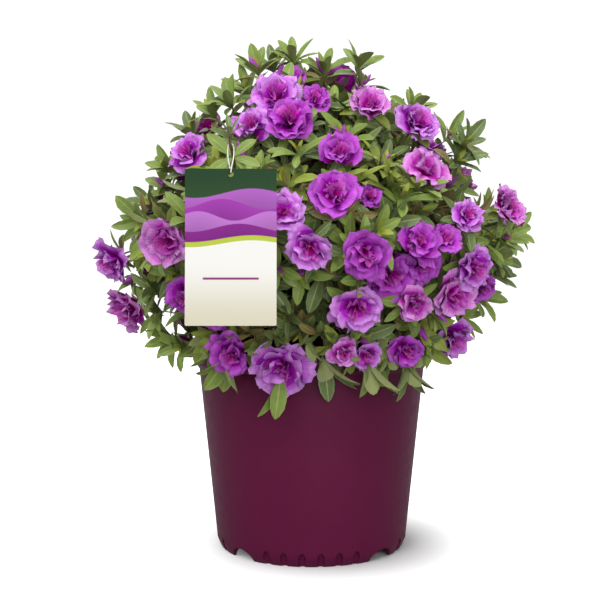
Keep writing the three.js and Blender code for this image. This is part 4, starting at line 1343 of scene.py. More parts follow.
def pot_profile(sizes):
    """The pot's outline from the middle of its foot, up the outside and down the inside."""
    top = sizes.height
    rim = sizes.rim_radius
    band_bottom = top - RIM_BAND
    foot_inner = FOOT_RADIUS - FOOT_RING

    def wall(height):
        return wall_radius(height, top, rim)

    outline = [
        (CENTRE_FOOT_RADIUS, 0),
        (CENTRE_FOOT_RADIUS + FLOOR_DRAFT, FLOOR_UNDERSIDE),
        (foot_inner - FLOOR_DRAFT, FLOOR_UNDERSIDE),
        (foot_inner, 0),
        (FOOT_RADIUS - SOFT_EDGE, 0),
        (FOOT_RADIUS, SOFT_EDGE),
        (WALL_FOOT_RADIUS - BEND_BELOW_IN, FOOT_CHAMFER - BEND_HALF_HEIGHT),
        (WALL_FOOT_RADIUS + BEND_ABOVE_OUT, FOOT_CHAMFER + BEND_HALF_HEIGHT),
    ]
    rows = np.linspace(WALL_START, band_bottom - BAND_STEP - BEND_HALF_HEIGHT, WALL_ROWS)
    outline += [(wall(height), height) for height in rows]
    outline += [
        (wall(band_bottom) + STEP_OUT, band_bottom - BAND_STEP),
        (rim - SOFT_EDGE, band_bottom - STEP_DOWN),
        (rim, band_bottom + SOFT_EDGE),
    ]
    outline += rounded((rim - LIP_ROUND, top - LIP_ROUND), LIP_ROUND, 0)
    inner_round = (rim - LIP_ROUND - WALL + INNER_LIP_ROUND, top - INNER_LIP_ROUND)
    outline += rounded(inner_round, INNER_LIP_ROUND, 90)
    outline += [
        (rim - WALL - LIP_ROUND, band_bottom),
        (wall(band_bottom) - WALL, band_bottom - BAND_STEP),
        (wall(FLOOR_TOP) - WALL, FLOOR_TOP),
        (CENTRE_FOOT_RADIUS, FLOOR_TOP),
    ]
    return outline


def turned_shell(name, profile, segments):
    """Draws a profile up from a circle, ring by ring, and closes both of its ends."""
    radius, height = profile[0]
    piece = new_primitive(name, bpy.ops.mesh.primitive_circle_add, vertices=segments,
                          radius=radius, fill_type="NOTHING", location=(0, 0, height))
    settle(piece)
    bpy.ops.object.mode_set(mode="EDIT")
    bpy.ops.mesh.select_mode(type="EDGE")
    bpy.ops.mesh.select_all(action="SELECT")
    for next_radius, next_height in profile[1:]:
        rise = {"value": (0, 0, next_height - height)}
        bpy.ops.mesh.extrude_region_move(TRANSFORM_OT_translate=rise)
        grow_by = next_radius / radius
        bpy.ops.transform.resize(
            value=(grow_by, grow_by, 1), center_override=(0, 0, next_height))
        radius, height = next_radius, next_height
    bpy.ops.mesh.edge_face_add()
    bpy.ops.mesh.select_all(action="DESELECT")
    bpy.ops.mesh.select_non_manifold()
    bpy.ops.mesh.edge_face_add()
    bpy.ops.mesh.select_all(action="SELECT")
    bpy.ops.mesh.normals_make_consistent(inside=False)
    bpy.ops.object.mode_set(mode="OBJECT")
    return piece


def arch_cutter(bearing):
    """A lying half-round bar that cuts one drain arch through the foot."""
    cutter = new_primitive("arch_cutter", bpy.ops.mesh.primitive_cylinder_add,
                           vertices=ARCH_SIDES, radius=1, depth=ARCH_CUTTER_LENGTH,
                           rotation=(math.pi / 2, 0, math.radians(bearing)),
                           location=at_bearing(bearing, FOOT_RADIUS, 0))
    cutter.scale = (ARCH_WIDTH / 2, ARCH_HEIGHT, 1)
    return settle(cutter)


def flute_cutter(bearing):
    """A round-topped bar, leaning out with the wall, that cuts one flute out of the foot."""
    middle = FLUTE_HEIGHT - FLUTE_STRETCH * FLUTE_RADIUS
    cutter = new_primitive("flute_cutter", bpy.ops.mesh.primitive_uv_sphere_add,
                           segments=FLUTE_SIDES, ring_count=FLUTE_SIDES // 2,
                           radius=FLUTE_RADIUS, location=(0, 0, middle))
    cutter.scale = (1, 1, FLUTE_STRETCH)
    settle(cutter)
    move_vertices(cutter, lambda spot: spot.z < middle - 1e-6, (0, 0, -middle))
    cutter.location = at_bearing(bearing, FOOT_RADIUS + FLUTE_STANDS_OUT, 0)
    cutter.rotation_euler = (math.radians(FLUTE_TILT), 0, math.radians(bearing))
    return settle(cutter)


def make_pot(sizes):
    pot = turned_shell("nursery_pot", pot_profile(sizes), sizes.segments)
    spacing = 360 / ARCH_COUNT
    cutters = []
    for arch in range(ARCH_COUNT):
        middle = spacing * (arch + 0.5)
        cutters.append(arch_cutter(middle))
        for k in range(FLUTES_BETWEEN_ARCHES):
            offset = (k - (FLUTES_BETWEEN_ARCHES - 1) / 2) * FLUTE_SPACING
            cutters.append(flute_cutter(middle + spacing / 2 + offset))
    cut_away(pot, join_pieces("foot_cutters", cutters))
    return pot


# Chips of bark: half sizes as least and range, and the corners and faces of one chip
CHIP_COUNT = 1300
CHIP_LENGTH = (0.002, 0.009)
CHIP_BREADTH = (0.0015, 0.004)
CHIP_THICKNESS = (0.0008, 0.0016)
CHIP_SHARES = (0.45, 0.35, 0.2)
CHIP_TILT = 0.35
CHIP_CHIPPED = 0.55
CHIP_SUNK = 0.3
CLEAR_OF_WALL = 0.009
CLEAR_OF_TRUNK = 0.019
BOX_CORNERS = np.array((
    (-1, -1, -1), (1, -1, -1), (1, 1, -1), (-1, 1, -1),
    (-1, -1, 1), (1, -1, 1), (1, 1, 1), (-1, 1, 1),
))
BOX_FACES = np.array((
    (3, 2, 1, 0), (4, 5, 6, 7), (0, 1, 5, 4), (1, 2, 6, 5), (2, 3, 7, 6), (3, 0, 4, 7),
))


def make_chips(count=CHIP_COUNT):
    """Chips of bark and crumbs of peat that lie on the plug of mix."""
    draw = draws_for("chips")
    room = POT_HIGH.x - WALL - CLEAR_OF_WALL
    foot = CLEAR_OF_TRUNK
    away = np.sqrt(foot ** 2 + (room ** 2 - foot ** 2) * draw.random(count))
    spots = at_bearing(360 * draw.random(count), away, MIX_TOP)
    length = CHIP_LENGTH[0] + CHIP_LENGTH[1] * draw.random(count) ** 2
    breadth = CHIP_BREADTH[0] + CHIP_BREADTH[1] * draw.random(count)
    thickness = CHIP_THICKNESS[0] + CHIP_THICKNESS[1] * draw.random(count)
    size = np.stack([length, breadth, thickness], axis=1)
    spots[:, 2] += CHIP_SUNK * thickness
    upward = unit(np.array((0, 0, 1)) + CHIP_TILT * draw.normal(size=(count, 3)))
    across = square_to(upward, 2 * np.pi * draw.random(count))
    frames = np.stack([across, np.cross(upward, across), upward], axis=1)
    chipped = 1 + CHIP_CHIPPED * (draw.random((count, len(BOX_CORNERS), 3)) - 0.5)
    shapes = BOX_CORNERS * chipped * size[:, None]
    points = spots[:, None] + np.einsum("cki,cij->ckj", shapes, frames)
    first = len(BOX_CORNERS) * np.arange(count)
    quads = (BOX_FACES[None] + first[:, None, None]).reshape(-1, 4)
    tints = np.repeat(draw.choice(len(CHIP_SHARES), count, p=CHIP_SHARES), len(BOX_FACES))
    return points.reshape(-1, 3), quads, tints


def make_card(sizes):
    """The hang tag: a plate with rounded corners and a hole, bowed a little at its foot."""
    front = TAG_LOW.y
    thickness = TAG_HIGH.y - TAG_LOW.y
    middle = TAG_LOW.z + sizes.height / 2
    card = new_primitive("hang_tag", bpy.ops.mesh.primitive_plane_add, size=1,
                         location=(TAG_ACROSS, front + thickness, middle),
                         rotation=(math.pi / 2, 0, 0))
    card.scale = (sizes.width, sizes.height, 1)
    settle(card)
    bpy.ops.object.mode_set(mode="EDIT")
    bpy.ops.mesh.select_all(action="SELECT")
    bpy.ops.mesh.bevel(offset=sizes.corner, affect="VERTICES", segments=TAG_CORNER_STEPS)
    for row in range(1, TAG_ROWS):
        bpy.ops.mesh.select_all(action="SELECT")
        cut = TAG_LOW.z + sizes.height * row / TAG_ROWS
        bpy.ops.mesh.bisect(plane_co=(TAG_ACROSS, front, cut), plane_no=(0, 0, 1))
    bpy.ops.mesh.select_all(action="SELECT")
    bpy.ops.mesh.extrude_region_move(TRANSFORM_OT_translate={"value": (0, -thickness, 0)})
    bpy.ops.mesh.select_all(action="SELECT")
    bpy.ops.mesh.normals_make_consistent(inside=False)
    bpy.ops.object.mode_set(mode="OBJECT")
    punch = new_primitive("punch", bpy.ops.mesh.primitive_cylinder_add, vertices=TAG_HOLE_SIDES,
                          radius=TAG_HOLE_RADIUS, depth=PUNCH_LENGTH,
                          location=(TAG_ACROSS, front, TAG_HIGH.z - TAG_HOLE_BELOW_TOP),
                          rotation=(math.pi / 2, 0, 0))
    cut_away(card, settle(punch))
    bow(card, middle)
    return card


def bow(card, start):
    """Moves the card's lower half forward, row by row, more and more towards its foot."""
    levels = {round(vertex.co.z, 5) for vertex in card.data.vertices if vertex.co.z < start}
    for level in sorted(levels):
        share = (start - level) / (start - TAG_LOW.z)
        move_vertices(card, lambda spot: abs(spot.z - level) < 1e-5,
                      (0, -TAG_BOW * share * share, 0))


def make_tie():
    """The white loop that goes round the twig and through the hole of the card."""
    middle = np.array((TAG_ACROSS, (TAG_LOW.y + TAG_HIGH.y) / 2, TIE_LOWEST))
    radius = TAG_TWIG_RADIUS + TIE_RADIUS + TIE_ROUND_TWIG
    turns = [math.pi * k / 4 for k in range(5)]
    over = [(radius * math.cos(turn), 0, TIE_DROP + radius * math.sin(turn)) for turn in turns]
    strands = [[(-side * x, side * y, z) for x, y, z in TIE_STRAND] for side in (1, -1)]
    route = [(0, 0, 0), *reversed(strands[1]), *over, *strands[0]]
    curve = bpy.data.curves.new("tag_tie_loop", "CURVE")
    curve.dimensions = "3D"
    curve.resolution_u = 6
    curve.bevel_depth = TIE_RADIUS
    curve.bevel_resolution = 3
    spline = curve.splines.new("BEZIER")
    spline.bezier_points.add(len(route) - 1)
    for point, spot in zip(spline.bezier_points, route):
        point.co = middle + np.array(spot)
        point.handle_left_type = "AUTO"
        point.handle_right_type = "AUTO"
    spline.use_cyclic_u = True
    loop = bpy.data.objects.new("tag_tie_loop", curve)
    bpy.context.scene.collection.objects.link(loop)
    select_alone(loop)
    bpy.ops.object.convert(target="MESH")
    return bpy.context.active_object


def tag_twig():
    """The twig that carries the tag, out of its mass, through the loop of the tie and on."""
    names = [mass["name"] for mass in MASSES]
    start = stem_points(np.array([names.index(TAG_TWIG_MASS)]), STEM_SHARE)[0]
    loop = np.array((TAG_ACROSS, (TAG_LOW.y + TAG_HIGH.y) / 2, TIE_LOWEST + TIE_DROP))
    bends = (
        [start, loop + TAG_TWIG_BEHIND, loop],
        [loop, *(loop + step for step in TAG_TWIG_BEYOND)],
    )
    behind, beyond = [curve_between(np.stack(points)[None], TAG_TWIG_POINTS) for points in bends]
    return np.concatenate([behind, beyond[:, 1:]], axis=1)


# Materials

class Wiring:
    """Adds the nodes of one tree and joins their sockets."""

    def __init__(self, tree):
        self.tree = tree

    def add(self, kind, **settings):
        node = self.tree.nodes.new(kind)
        node.location = (200 * len(self.tree.nodes), 0)
        for key, value in settings.items():
            setattr(node, key, value)
        return node

    def feed(self, socket, value):
        if isinstance(value, bpy.types.NodeSocket):
            self.tree.links.new(value, socket)
        else:
            socket.default_value = value

    def math(self, operation, first, second=0.0, third=0.0):
        node = self.add("ShaderNodeMath", operation=operation)
        for socket, value in zip(node.inputs, (first, second, third)):
            self.feed(socket, value)
        return node.outputs[0]

    def blend(self, share, first, second):
        """A mix of two colours by a share. The node has them at inputs 6 and 7 and output 2."""
        node = self.add("ShaderNodeMix", data_type="RGBA")
        self.feed(node.inputs[0], share)
        self.feed(node.inputs[6], first)
        self.feed(node.inputs[7], second)
        return node.outputs[2]

    def between(self, value, low, high, to_low=0.0, to_high=1.0, smooth=False):
        kind = "SMOOTHSTEP" if smooth else "LINEAR"
        node = self.add("ShaderNodeMapRange", interpolation_type=kind)
        for name, given in (("Value", value), ("From Min", low), ("From Max", high),
                            ("To Min", to_low), ("To Max", to_high)):
            self.feed(node.inputs[name], given)
        return node.outputs["Result"]

    def noise(self, scale, detail=2.0, place=None, roughness=0.5):
        node = self.add("ShaderNodeTexNoise")
        self.feed(node.inputs["Scale"], scale)
        self.feed(node.inputs["Detail"], detail)
        self.feed(node.inputs["Roughness"], roughness)
        self.tree.links.new(place or self.place(), node.inputs["Vector"])
        return node.outputs["Fac"]

    def place(self, scale=None):
        spot = self.add("ShaderNodeTexCoord").outputs["Object"]
        if scale is None:
            return spot
        mapping = self.add("ShaderNodeMapping")
        self.feed(mapping.inputs["Vector"], spot)
        self.feed(mapping.inputs["Scale"], scale)
        return mapping.outputs["Vector"]

    def on_blade(self):
        """Across and along a leaf or petal, each from 0 to 1."""
        return self.axes(self.add("ShaderNodeUVMap", uv_map="blade").outputs["UV"])

    def off_middle(self, value, middle):
        return self.math("ABSOLUTE", self.math("SUBTRACT", value, middle))

    def axes(self, place):
        node = self.add("ShaderNodeSeparateXYZ")
        self.feed(node.inputs[0], place)
        return node.outputs

    def shade(self, colour_in, value):
        node = self.add("ShaderNodeHueSaturation")
        self.feed(node.inputs["Value"], value)
        self.feed(node.inputs["Color"], colour_in)
        return node.outputs["Color"]

    def group(self, tree, **values):
        node = self.add("ShaderNodeGroup", node_tree=tree)
        for name, value in values.items():
            self.feed(node.inputs[name.title()], value)
        return node.outputs

    def bump(self, height, distance, strength):
        node = self.add("ShaderNodeBump")
        self.feed(node.inputs["Height"], height)
        self.feed(node.inputs["Distance"], distance)
        self.feed(node.inputs["Strength"], strength)
        return node.outputs["Normal"]


def new_group(name, inputs, outputs, build):
    """A node group with named sockets, filled in by build, made once."""
    if name in bpy.data.node_groups:
        return bpy.data.node_groups[name]
    tree = bpy.data.node_groups.new(name, "ShaderNodeTree")
    for label, kind, default in inputs:
        socket = tree.interface.new_socket(name=label, in_out="INPUT", socket_type=kind)
        socket.default_value = default
    for label, kind in outputs:
        tree.interface.new_socket(name=label, in_out="OUTPUT", socket_type=kind)
    wiring = Wiring(tree)
    given = wiring.add("NodeGroupInput").outputs
    results = build(wiring, given)
    end = wiring.add("NodeGroupOutput")
    for label, value in results.items():
        wiring.feed(end.inputs[label], value)
    return tree


COLOUR = "NodeSocketColor"
NUMBER = "NodeSocketFloat"
GREY = (0.5, 0.5, 0.5, 1.0)
COLOUR_AND_HEIGHT = (("Color", COLOUR), ("Height", NUMBER))


def mottling():
    """A colour made lighter and darker in soft patches, with their height."""
    def build(wiring, given):
        patches = wiring.noise(given["Scale"], detail=3.0)
        swing = wiring.math("SUBTRACT", patches, 0.5)
        value = wiring.math("MULTIPLY_ADD", swing, given["Amount"], 1.0)
        return {"Color": wiring.shade(given["Color"], value), "Height": patches}
    inputs = (("Color", COLOUR, GREY), ("Scale", NUMBER, 60.0), ("Amount", NUMBER, 0.3))
    return new_group("mottling", inputs, COLOUR_AND_HEIGHT, build)


def furrows():
    """Bark with long ridges, darker in its cracks."""
    def build(wiring, given):
        stretched = wiring.place((1.0, 1.0, 0.28))
        ridges = wiring.noise(given["Scale"], detail=5.0, place=stretched, roughness=0.65)
        cracks = wiring.between(ridges, 0.38, 0.62, smooth=True)
        patches = wiring.noise(wiring.math("MULTIPLY", given["Scale"], 0.2), detail=2.0)
        tinted = wiring.shade(given["Light"], wiring.between(patches, 0.3, 0.7, 0.75, 1.2))
        return {"Color": wiring.blend(cracks, given["Dark"], tinted), "Height": ridges}
    inputs = (("Light", COLOUR, GREY), ("Dark", COLOUR, GREY), ("Scale", NUMBER, 300.0))
    return new_group("furrows", inputs, COLOUR_AND_HEIGHT, build)


def blade():
    """The face of a leaf or petal: fine veins across its own length and breadth."""
    def build(wiring, given):
        spot = wiring.on_blade()
        aside = wiring.off_middle(spot[0], 0.5)
        steps = wiring.math("MULTIPLY", spot[1], given["Veins"])
        slanted = wiring.math("MULTIPLY_ADD", aside, given["Slant"], steps)
        swing = wiring.math("SINE", wiring.math("MULTIPLY", slanted, math.pi))
        vein = wiring.between(wiring.math("ABSOLUTE", swing), 0.0, 0.35, 1.0, 0.0, smooth=True)
        patches = wiring.noise(160.0, detail=2.0)
        value = wiring.math("MULTIPLY_ADD", wiring.math("SUBTRACT", patches, 0.5), 0.5, 1.0)
        share = wiring.math("MULTIPLY", vein, given["Strength"])
        marked = wiring.blend(share, given["Color"], given["Vein"])
        return {"Color": wiring.shade(marked, value), "Height": wiring.math("SUBTRACT", 1.0, vein)}
    inputs = (("Color", COLOUR, GREY), ("Vein", COLOUR, GREY), ("Veins", NUMBER, 9.0),
              ("Slant", NUMBER, -5.0), ("Strength", NUMBER, 0.3))
    return new_group("blade", inputs, COLOUR_AND_HEIGHT, build)


def new_material(name, roughness, specular=0.5):
    """A material with its shader, whose constant values are set on the shader's own sockets."""
    material = bpy.data.materials.new(name)
    material.use_nodes = True
    shader = material.node_tree.nodes["Principled BSDF"]
    shader.inputs["Roughness"].default_value = roughness
    shader.inputs["Specular IOR Level"].default_value = specular
    return material, Wiring(material.node_tree), shader


def pot_material(sizes):
    material, wiring, shader = new_material("pot_plastic", roughness=0.40, specular=0.16)
    patches = wiring.group(mottling(), color=tuple(sizes.plastic), scale=14.0, amount=0.16)
    spot = wiring.axes(wiring.place())
    dust = wiring.between(spot[2], 0.0, 0.012, 0.05, 0.0, smooth=True)
    grains = wiring.between(wiring.noise(420.0, detail=4.0), 0.45, 0.7)
    dusty = wiring.math("MULTIPLY", dust, grains)
    dusted = wiring.blend(dusty, patches["Color"], srgb(168, 140, 140))
    top = sizes.height
    # Lighter in fine specks along the top of the lip
    lip = wiring.between(spot[2], top - 0.0022, top - 0.0004, 0.0, 0.22, smooth=True)
    lip_lightened = wiring.blend(wiring.math("MULTIPLY", lip, grains), dusted, srgb(170, 96, 140))
    wiring.feed(shader.inputs["Base Color"], lip_lightened)
    rough = wiring.between(wiring.noise(90.0, detail=3.0), 0.3, 0.7, 0.32, 0.44)
    wiring.feed(shader.inputs["Roughness"], rough)
    grain = wiring.noise(1500.0, detail=2.0)
    wiring.feed(shader.inputs["Normal"], wiring.bump(grain, distance=0.00004, strength=0.5))
    return material


def mix_material(name, tint):
    material, wiring, shader = new_material(name, roughness=0.92, specular=0.3)
    bark = wiring.group(furrows(), light=tint, dark=srgb(28, 19, 14), scale=420.0)
    patches = wiring.group(mottling(), color=bark["Color"], scale=260.0, amount=0.5)
    wiring.feed(shader.inputs["Base Color"], patches["Color"])
    wiring.feed(shader.inputs["Normal"], wiring.bump(bark["Height"], distance=0.0012, strength=0.8))
    return material


def bark_material(name, light, dark, scale, depth):
    material, wiring, shader = new_material(name, roughness=0.86, specular=0.35)
    bark = wiring.group(furrows(), light=light, dark=dark, scale=scale)
    wiring.feed(shader.inputs["Base Color"], bark["Color"])
    wiring.feed(shader.inputs["Roughness"], wiring.between(bark["Height"], 0.3, 0.7, 0.95, 0.72))
    wiring.feed(shader.inputs["Normal"], wiring.bump(bark["Height"], distance=depth, strength=0.9))
    return material


def leaf_material(name, upper, under, gloss):
    material, wiring, shader = new_material(name, gloss, 0.4)
    top = wiring.group(blade(), color=upper, vein=srgb(150, 172, 96),
                       veins=7.0, slant=-4.5, strength=0.26)
    # Painted highlight: a lighter band along the margin of the leaf
    aside = wiring.off_middle(wiring.on_blade()[0], 0.5)
    margin = wiring.between(aside, 0.38, 0.5, 0.0, 0.35)
    highlit_margin = wiring.blend(margin, top["Color"], srgb(168, 184, 116))
    behind = wiring.add("ShaderNodeNewGeometry").outputs["Backfacing"]
    wiring.feed(shader.inputs["Base Color"], wiring.blend(behind, highlit_margin, under))
    wiring.feed(shader.inputs["Normal"], wiring.bump(top["Height"], distance=0.0005, strength=0.5))
    return material


def petal_material(name, near, far, span):
    """One zone of a petal: from its near tint to its far one over a span of the petal's length."""
    material, wiring, shader = new_material(name, roughness=0.6, specular=0.08)
    shader.inputs["Subsurface Weight"].default_value = 0.10
    shader.inputs["Subsurface Scale"].default_value = 0.004
    tint = wiring.blend(wiring.between(wiring.on_blade()[1], *span), near, far)
    top = wiring.group(blade(), color=tint, vein=darker(near, 0.6),
                       veins=0.6, slant=22.0, strength=0.42)
    wiring.feed(shader.inputs["Base Color"], top["Color"])
    crinkled = wiring.math("ADD", top["Height"], wiring.noise(260.0, detail=3.0))
    wiring.feed(shader.inputs["Normal"], wiring.bump(crinkled, distance=0.0016, strength=0.7))
    return material


def darker(tint, share):
    return (*(channel * share for channel in tint[:3]), 1.0)


def petal_materials(sizes):
    """Three tints of bloom and one of the hearts, each deep in its throat and pale at its edge."""
    petal = tuple(sizes.petal)
    tints = {
        "violet": (srgb(180, 2, 132), petal, srgb(186, 42, 200), srgb(214, 146, 229)),
        "orchid": (srgb(194, 2, 122), srgb(192, 8, 158), srgb(199, 52, 190), srgb(218, 148, 219)),
        # The deep tint is a bloom's own darker tone, and painted shade on the half hidden blooms
        "deep": (srgb(156, 2, 116), srgb(160, 4, 148), srgb(166, 20, 174), srgb(192, 92, 207)),
        "heart": (srgb(184, 2, 118), srgb(188, 4, 148), srgb(192, 24, 174), srgb(208, 100, 206)),
    }
    materials = []
    for name, shades in tints.items():
        following = (*shades[1:], shades[-1])
        for zone, near, far, span in zip(ZONE_NAMES, shades, following, ZONE_SPANS):
            materials.append(petal_material(f"petal_{name}_{zone}", near, far, span))
    return materials


def card_material(sizes):
    """The print of the hang tag: violet waves on green over a cream field."""
    material, wiring, shader = new_material("tag_card", roughness=0.5, specular=0.12)
    spot = wiring.axes(wiring.place())
    across = wiring.math("DIVIDE", wiring.math("SUBTRACT", spot[0], TAG_ACROSS), sizes.width)
    rise = wiring.math("DIVIDE", wiring.math("SUBTRACT", spot[2], TAG_LOW.z), sizes.height)
    field = wiring.blend(wiring.between(rise, 0.0, 0.42, 1.0, 0.0, smooth=True),
                         tuple(sizes.card), srgb(194, 189, 168))
    panel = wiring.blend(wiring.between(rise, 0.55, 0.95), srgb(50, 80, 42), srgb(28, 58, 32))
    for base, swing, waves, shift, tint in CARD_WAVES:
        crest = wiring.math("SINE", wiring.math("MULTIPLY_ADD", across, waves, shift))
        below = wiring.math("SUBTRACT", wiring.math("MULTIPLY_ADD", crest, swing, base), rise)
        shaded = wiring.shade(srgb(*tint), wiring.between(below, 0.0, 0.14, 1.1, 0.72))
        panel = wiring.blend(wiring.between(below, 0.0, 0.003), panel, shaded)
    hem = wiring.math("SINE", wiring.math("MULTIPLY_ADD", across, 4.6, 0.5))
    above = wiring.math("SUBTRACT", rise, wiring.math("MULTIPLY_ADD", hem, 0.022, 0.520))
    band = wiring.blend(wiring.between(above, 0.032, 0.035), srgb(168, 180, 62), panel)
    printed = wiring.blend(wiring.between(above, 0.0, 0.003), field, band)
    level = wiring.between(wiring.off_middle(rise, 0.30), 0.006, 0.008, 1.0, 0.0)
    inside = wiring.between(wiring.math("ABSOLUTE", across), 0.30, 0.31, 1.0, 0.0)
    ruled = wiring.blend(wiring.math("MULTIPLY", level, inside), printed, srgb(122, 52, 104))
    wiring.feed(shader.inputs["Base Color"], ruled)
    rough = wiring.between(wiring.noise(300.0, detail=2.0), 0.3, 0.7, 0.42, 0.54)
    wiring.feed(shader.inputs["Roughness"], rough)
    return material


def plain_material(name, tint, roughness, scale, amount, depth):
    material, wiring, shader = new_material(name, roughness)
    patches = wiring.group(mottling(), color=tint, scale=scale, amount=amount)
    wiring.feed(shader.inputs["Base Color"], patches["Color"])
    normal = wiring.bump(patches["Height"], distance=depth, strength=0.5)
    wiring.feed(shader.inputs["Normal"], normal)
    return material


# Stage

def floor_material():
    """White to the eye away from the pot, and a plain matt floor by its foot and to the light."""
    material, wiring, shader = new_material("pale_floor", roughness=0.9, specular=0.0)
    spot = wiring.place()
    moved = wiring.add("ShaderNodeVectorMath", operation="SUBTRACT")
    wiring.feed(moved.inputs[0], spot)
    wiring.feed(moved.inputs[1], FLOOR_SHADE_MIDDLE)
    away = wiring.add("ShaderNodeVectorMath", operation="LENGTH")
    wiring.feed(away.inputs[0], moved.outputs[0])
    clear = wiring.between(away.outputs["Value"], *FLOOR_CLEARS)
    seen = wiring.add("ShaderNodeLightPath").outputs["Is Camera Ray"]
    greys = wiring.blend(seen, (0.34, 0.34, 0.34, 1.0), (0.7, 0.7, 0.7, 1.0))
    wiring.feed(shader.inputs["Base Color"], greys)
    shader.inputs["Emission Color"].default_value = (1, 1, 1, 1)
    wiring.feed(shader.inputs["Emission Strength"], wiring.math("MULTIPLY", seen, clear))
    return material


def aimed_light(name, spot, size, power):
    light = bpy.data.lights.new(name, "AREA")
    light.energy = power
    light.size = size
    lamp = bpy.data.objects.new(name, light)
    bpy.context.scene.collection.objects.link(lamp)
    lamp.location = spot
    way = Vector(LIGHT_TARGET) - Vector(spot)
    lamp.rotation_euler = way.to_track_quat("-Z", "Y").to_euler()


def make_world():
    """White behind the object, and a softer studio sky for its light and reflections."""
    world = bpy.data.worlds.new("studio")
    world.use_nodes = True
    bpy.context.scene.world = world
    wiring = Wiring(world.node_tree)
    world.node_tree.nodes.clear()
    spot = wiring.axes(wiring.add("ShaderNodeTexCoord").outputs["Generated"])
    sky = wiring.between(spot[2], -0.1, 0.9, *SKY_LIGHT, smooth=True)
    seen = wiring.add("ShaderNodeLightPath").outputs["Is Camera Ray"]
    light = wiring.add("ShaderNodeBackground")
    wiring.feed(light.inputs["Strength"], sky)
    backdrop = wiring.add("ShaderNodeBackground")
    backdrop.inputs["Color"].default_value = (1, 1, 1, 1)
    backdrop.inputs["Strength"].default_value = BACKDROP_LIGHT
    either = wiring.add("ShaderNodeMixShader")
    wiring.feed(either.inputs[0], seen)
    wiring.tree.links.new(light.outputs[0], either.inputs[1])
    wiring.tree.links.new(backdrop.outputs[0], either.inputs[2])
    end = wiring.add("ShaderNodeOutputWorld")
    wiring.tree.links.new(either.outputs[0], end.inputs["Surface"])


def make_camera(sizes):
    data = bpy.data.cameras.new("camera")
    data.sensor_width = SENSOR_WIDTH
    data.lens = FOCAL_PIXELS / PICTURE_PIXELS * data.sensor_width
    data.shift_x = (PICTURE_PIXELS / 2 - AXIS_PIXEL) / PICTURE_PIXELS
    data.shift_y = (HORIZON_PIXEL - PICTURE_PIXELS / 2) / PICTURE_PIXELS
    data.clip_end = FURTHEST_SEEN
    camera = bpy.data.objects.new("camera", data)
    bpy.context.scene.collection.objects.link(camera)
    camera.location = (0, -sizes.camera_distance, sizes.camera_height)
    camera.rotation_euler = (math.pi / 2, 0, 0)
    bpy.context.scene.camera = camera


# Operators

class AZALEA_OT_pot(bpy.types.Operator):
    """Model the nursery pot with its rolled lip, drain arches and flutes"""
    bl_idname = "azalea.make_pot"
    bl_label = "Pot"

    def execute(self, context):
        sizes = context.scene.azalea_pot
        pot = make_pot(sizes)
        dress(pot, pot_material(sizes))
        finish_piece(pot, ["pot"], angle=28)
        return {"FINISHED"}


class AZALEA_OT_mix(bpy.types.Operator):
    """Finish the plug of potting mix and lay chips of bark on it"""
    bl_idname = "azalea.make_mix"
    bl_label = "Potting mix"

    def execute(self, context):
        tint = tuple(context.scene.azalea_pot.mix)
        dress(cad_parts["potting_mix"], mix_material("damp_mix", darker(tint, 0.7)))
        points, quads, tints = make_chips()
        shades = [mix_material("chip_brown", tint), mix_material("chip_dark", darker(tint, 0.5)),
                  mix_material("chip_pale", srgb(118, 92, 70))]
        chips = joined_piece("bark_chips", points, quads, shades, tints, smooth=False)
        finish_piece(chips)
        return {"FINISHED"}


class AZALEA_OT_limbs(bpy.types.Operator):
    """Grow the trunk and boughs with the relief of their bark"""
    bl_idname = "azalea.make_limbs"
    bl_label = "Trunk and boughs"

    def execute(self, context):
        light = tuple(context.scene.azalea_crown.bark)
        boughs = woody_tubes("boughs", bough_paths(), BOUGH_RADII, BOUGH_SIDES, BOUGH_RELIEF)
        points, quads, _ = merged([trunk_tube(), boughs])
        bark = bark_material("woody_bark", light, srgb(52, 40, 30), scale=240.0, depth=0.0016)
        nodes = ["trunk"] + [f"bough_{mass['name']}" for mass in MASSES]
        finish_piece(joined_piece("trunk_and_boughs", points, quads, [bark]), nodes)
        return {"FINISHED"}


class AZALEA_OT_twigs(bpy.types.Operator):
    """Grow the stems, twigs and fine green shoots that carry the leaves and blooms"""
    bl_idname = "azalea.make_twigs"
    bl_label = "Twigs"

    def execute(self, context):
        growth = grow()
        stems = woody_tubes("stems", stem_paths(), STEM_RADII, STEM_SIDES, STEM_RELIEF)
        twigs = tubes_of(growth["twigs"], *TWIG_RADII, TWIG_SIDES)
        thinned = TAG_TWIG_RADIUS * TAG_TWIG_TAPER
        holder = tubes_of(tag_twig(), TAG_TWIG_RADIUS, thinned, TAG_TWIG_SIDES)
        shoots = tubes_of(growth["shoots"], *SHOOT_RADII, SHOOT_SIDES)
        points, quads, tints = merged([stems, twigs, holder, shoots])
        brown = bark_material("twig_bark", srgb(128, 104, 72), srgb(64, 48, 34),
                              scale=420.0, depth=0.0006)
        fresh = bark_material("shoot_bark", srgb(128, 138, 76), srgb(92, 88, 50),
                              scale=500.0, depth=0.0003)
        materials = [brown, brown, brown, fresh]
        finish_piece(joined_piece("twigs", points, quads, materials, tints))
        return {"FINISHED"}


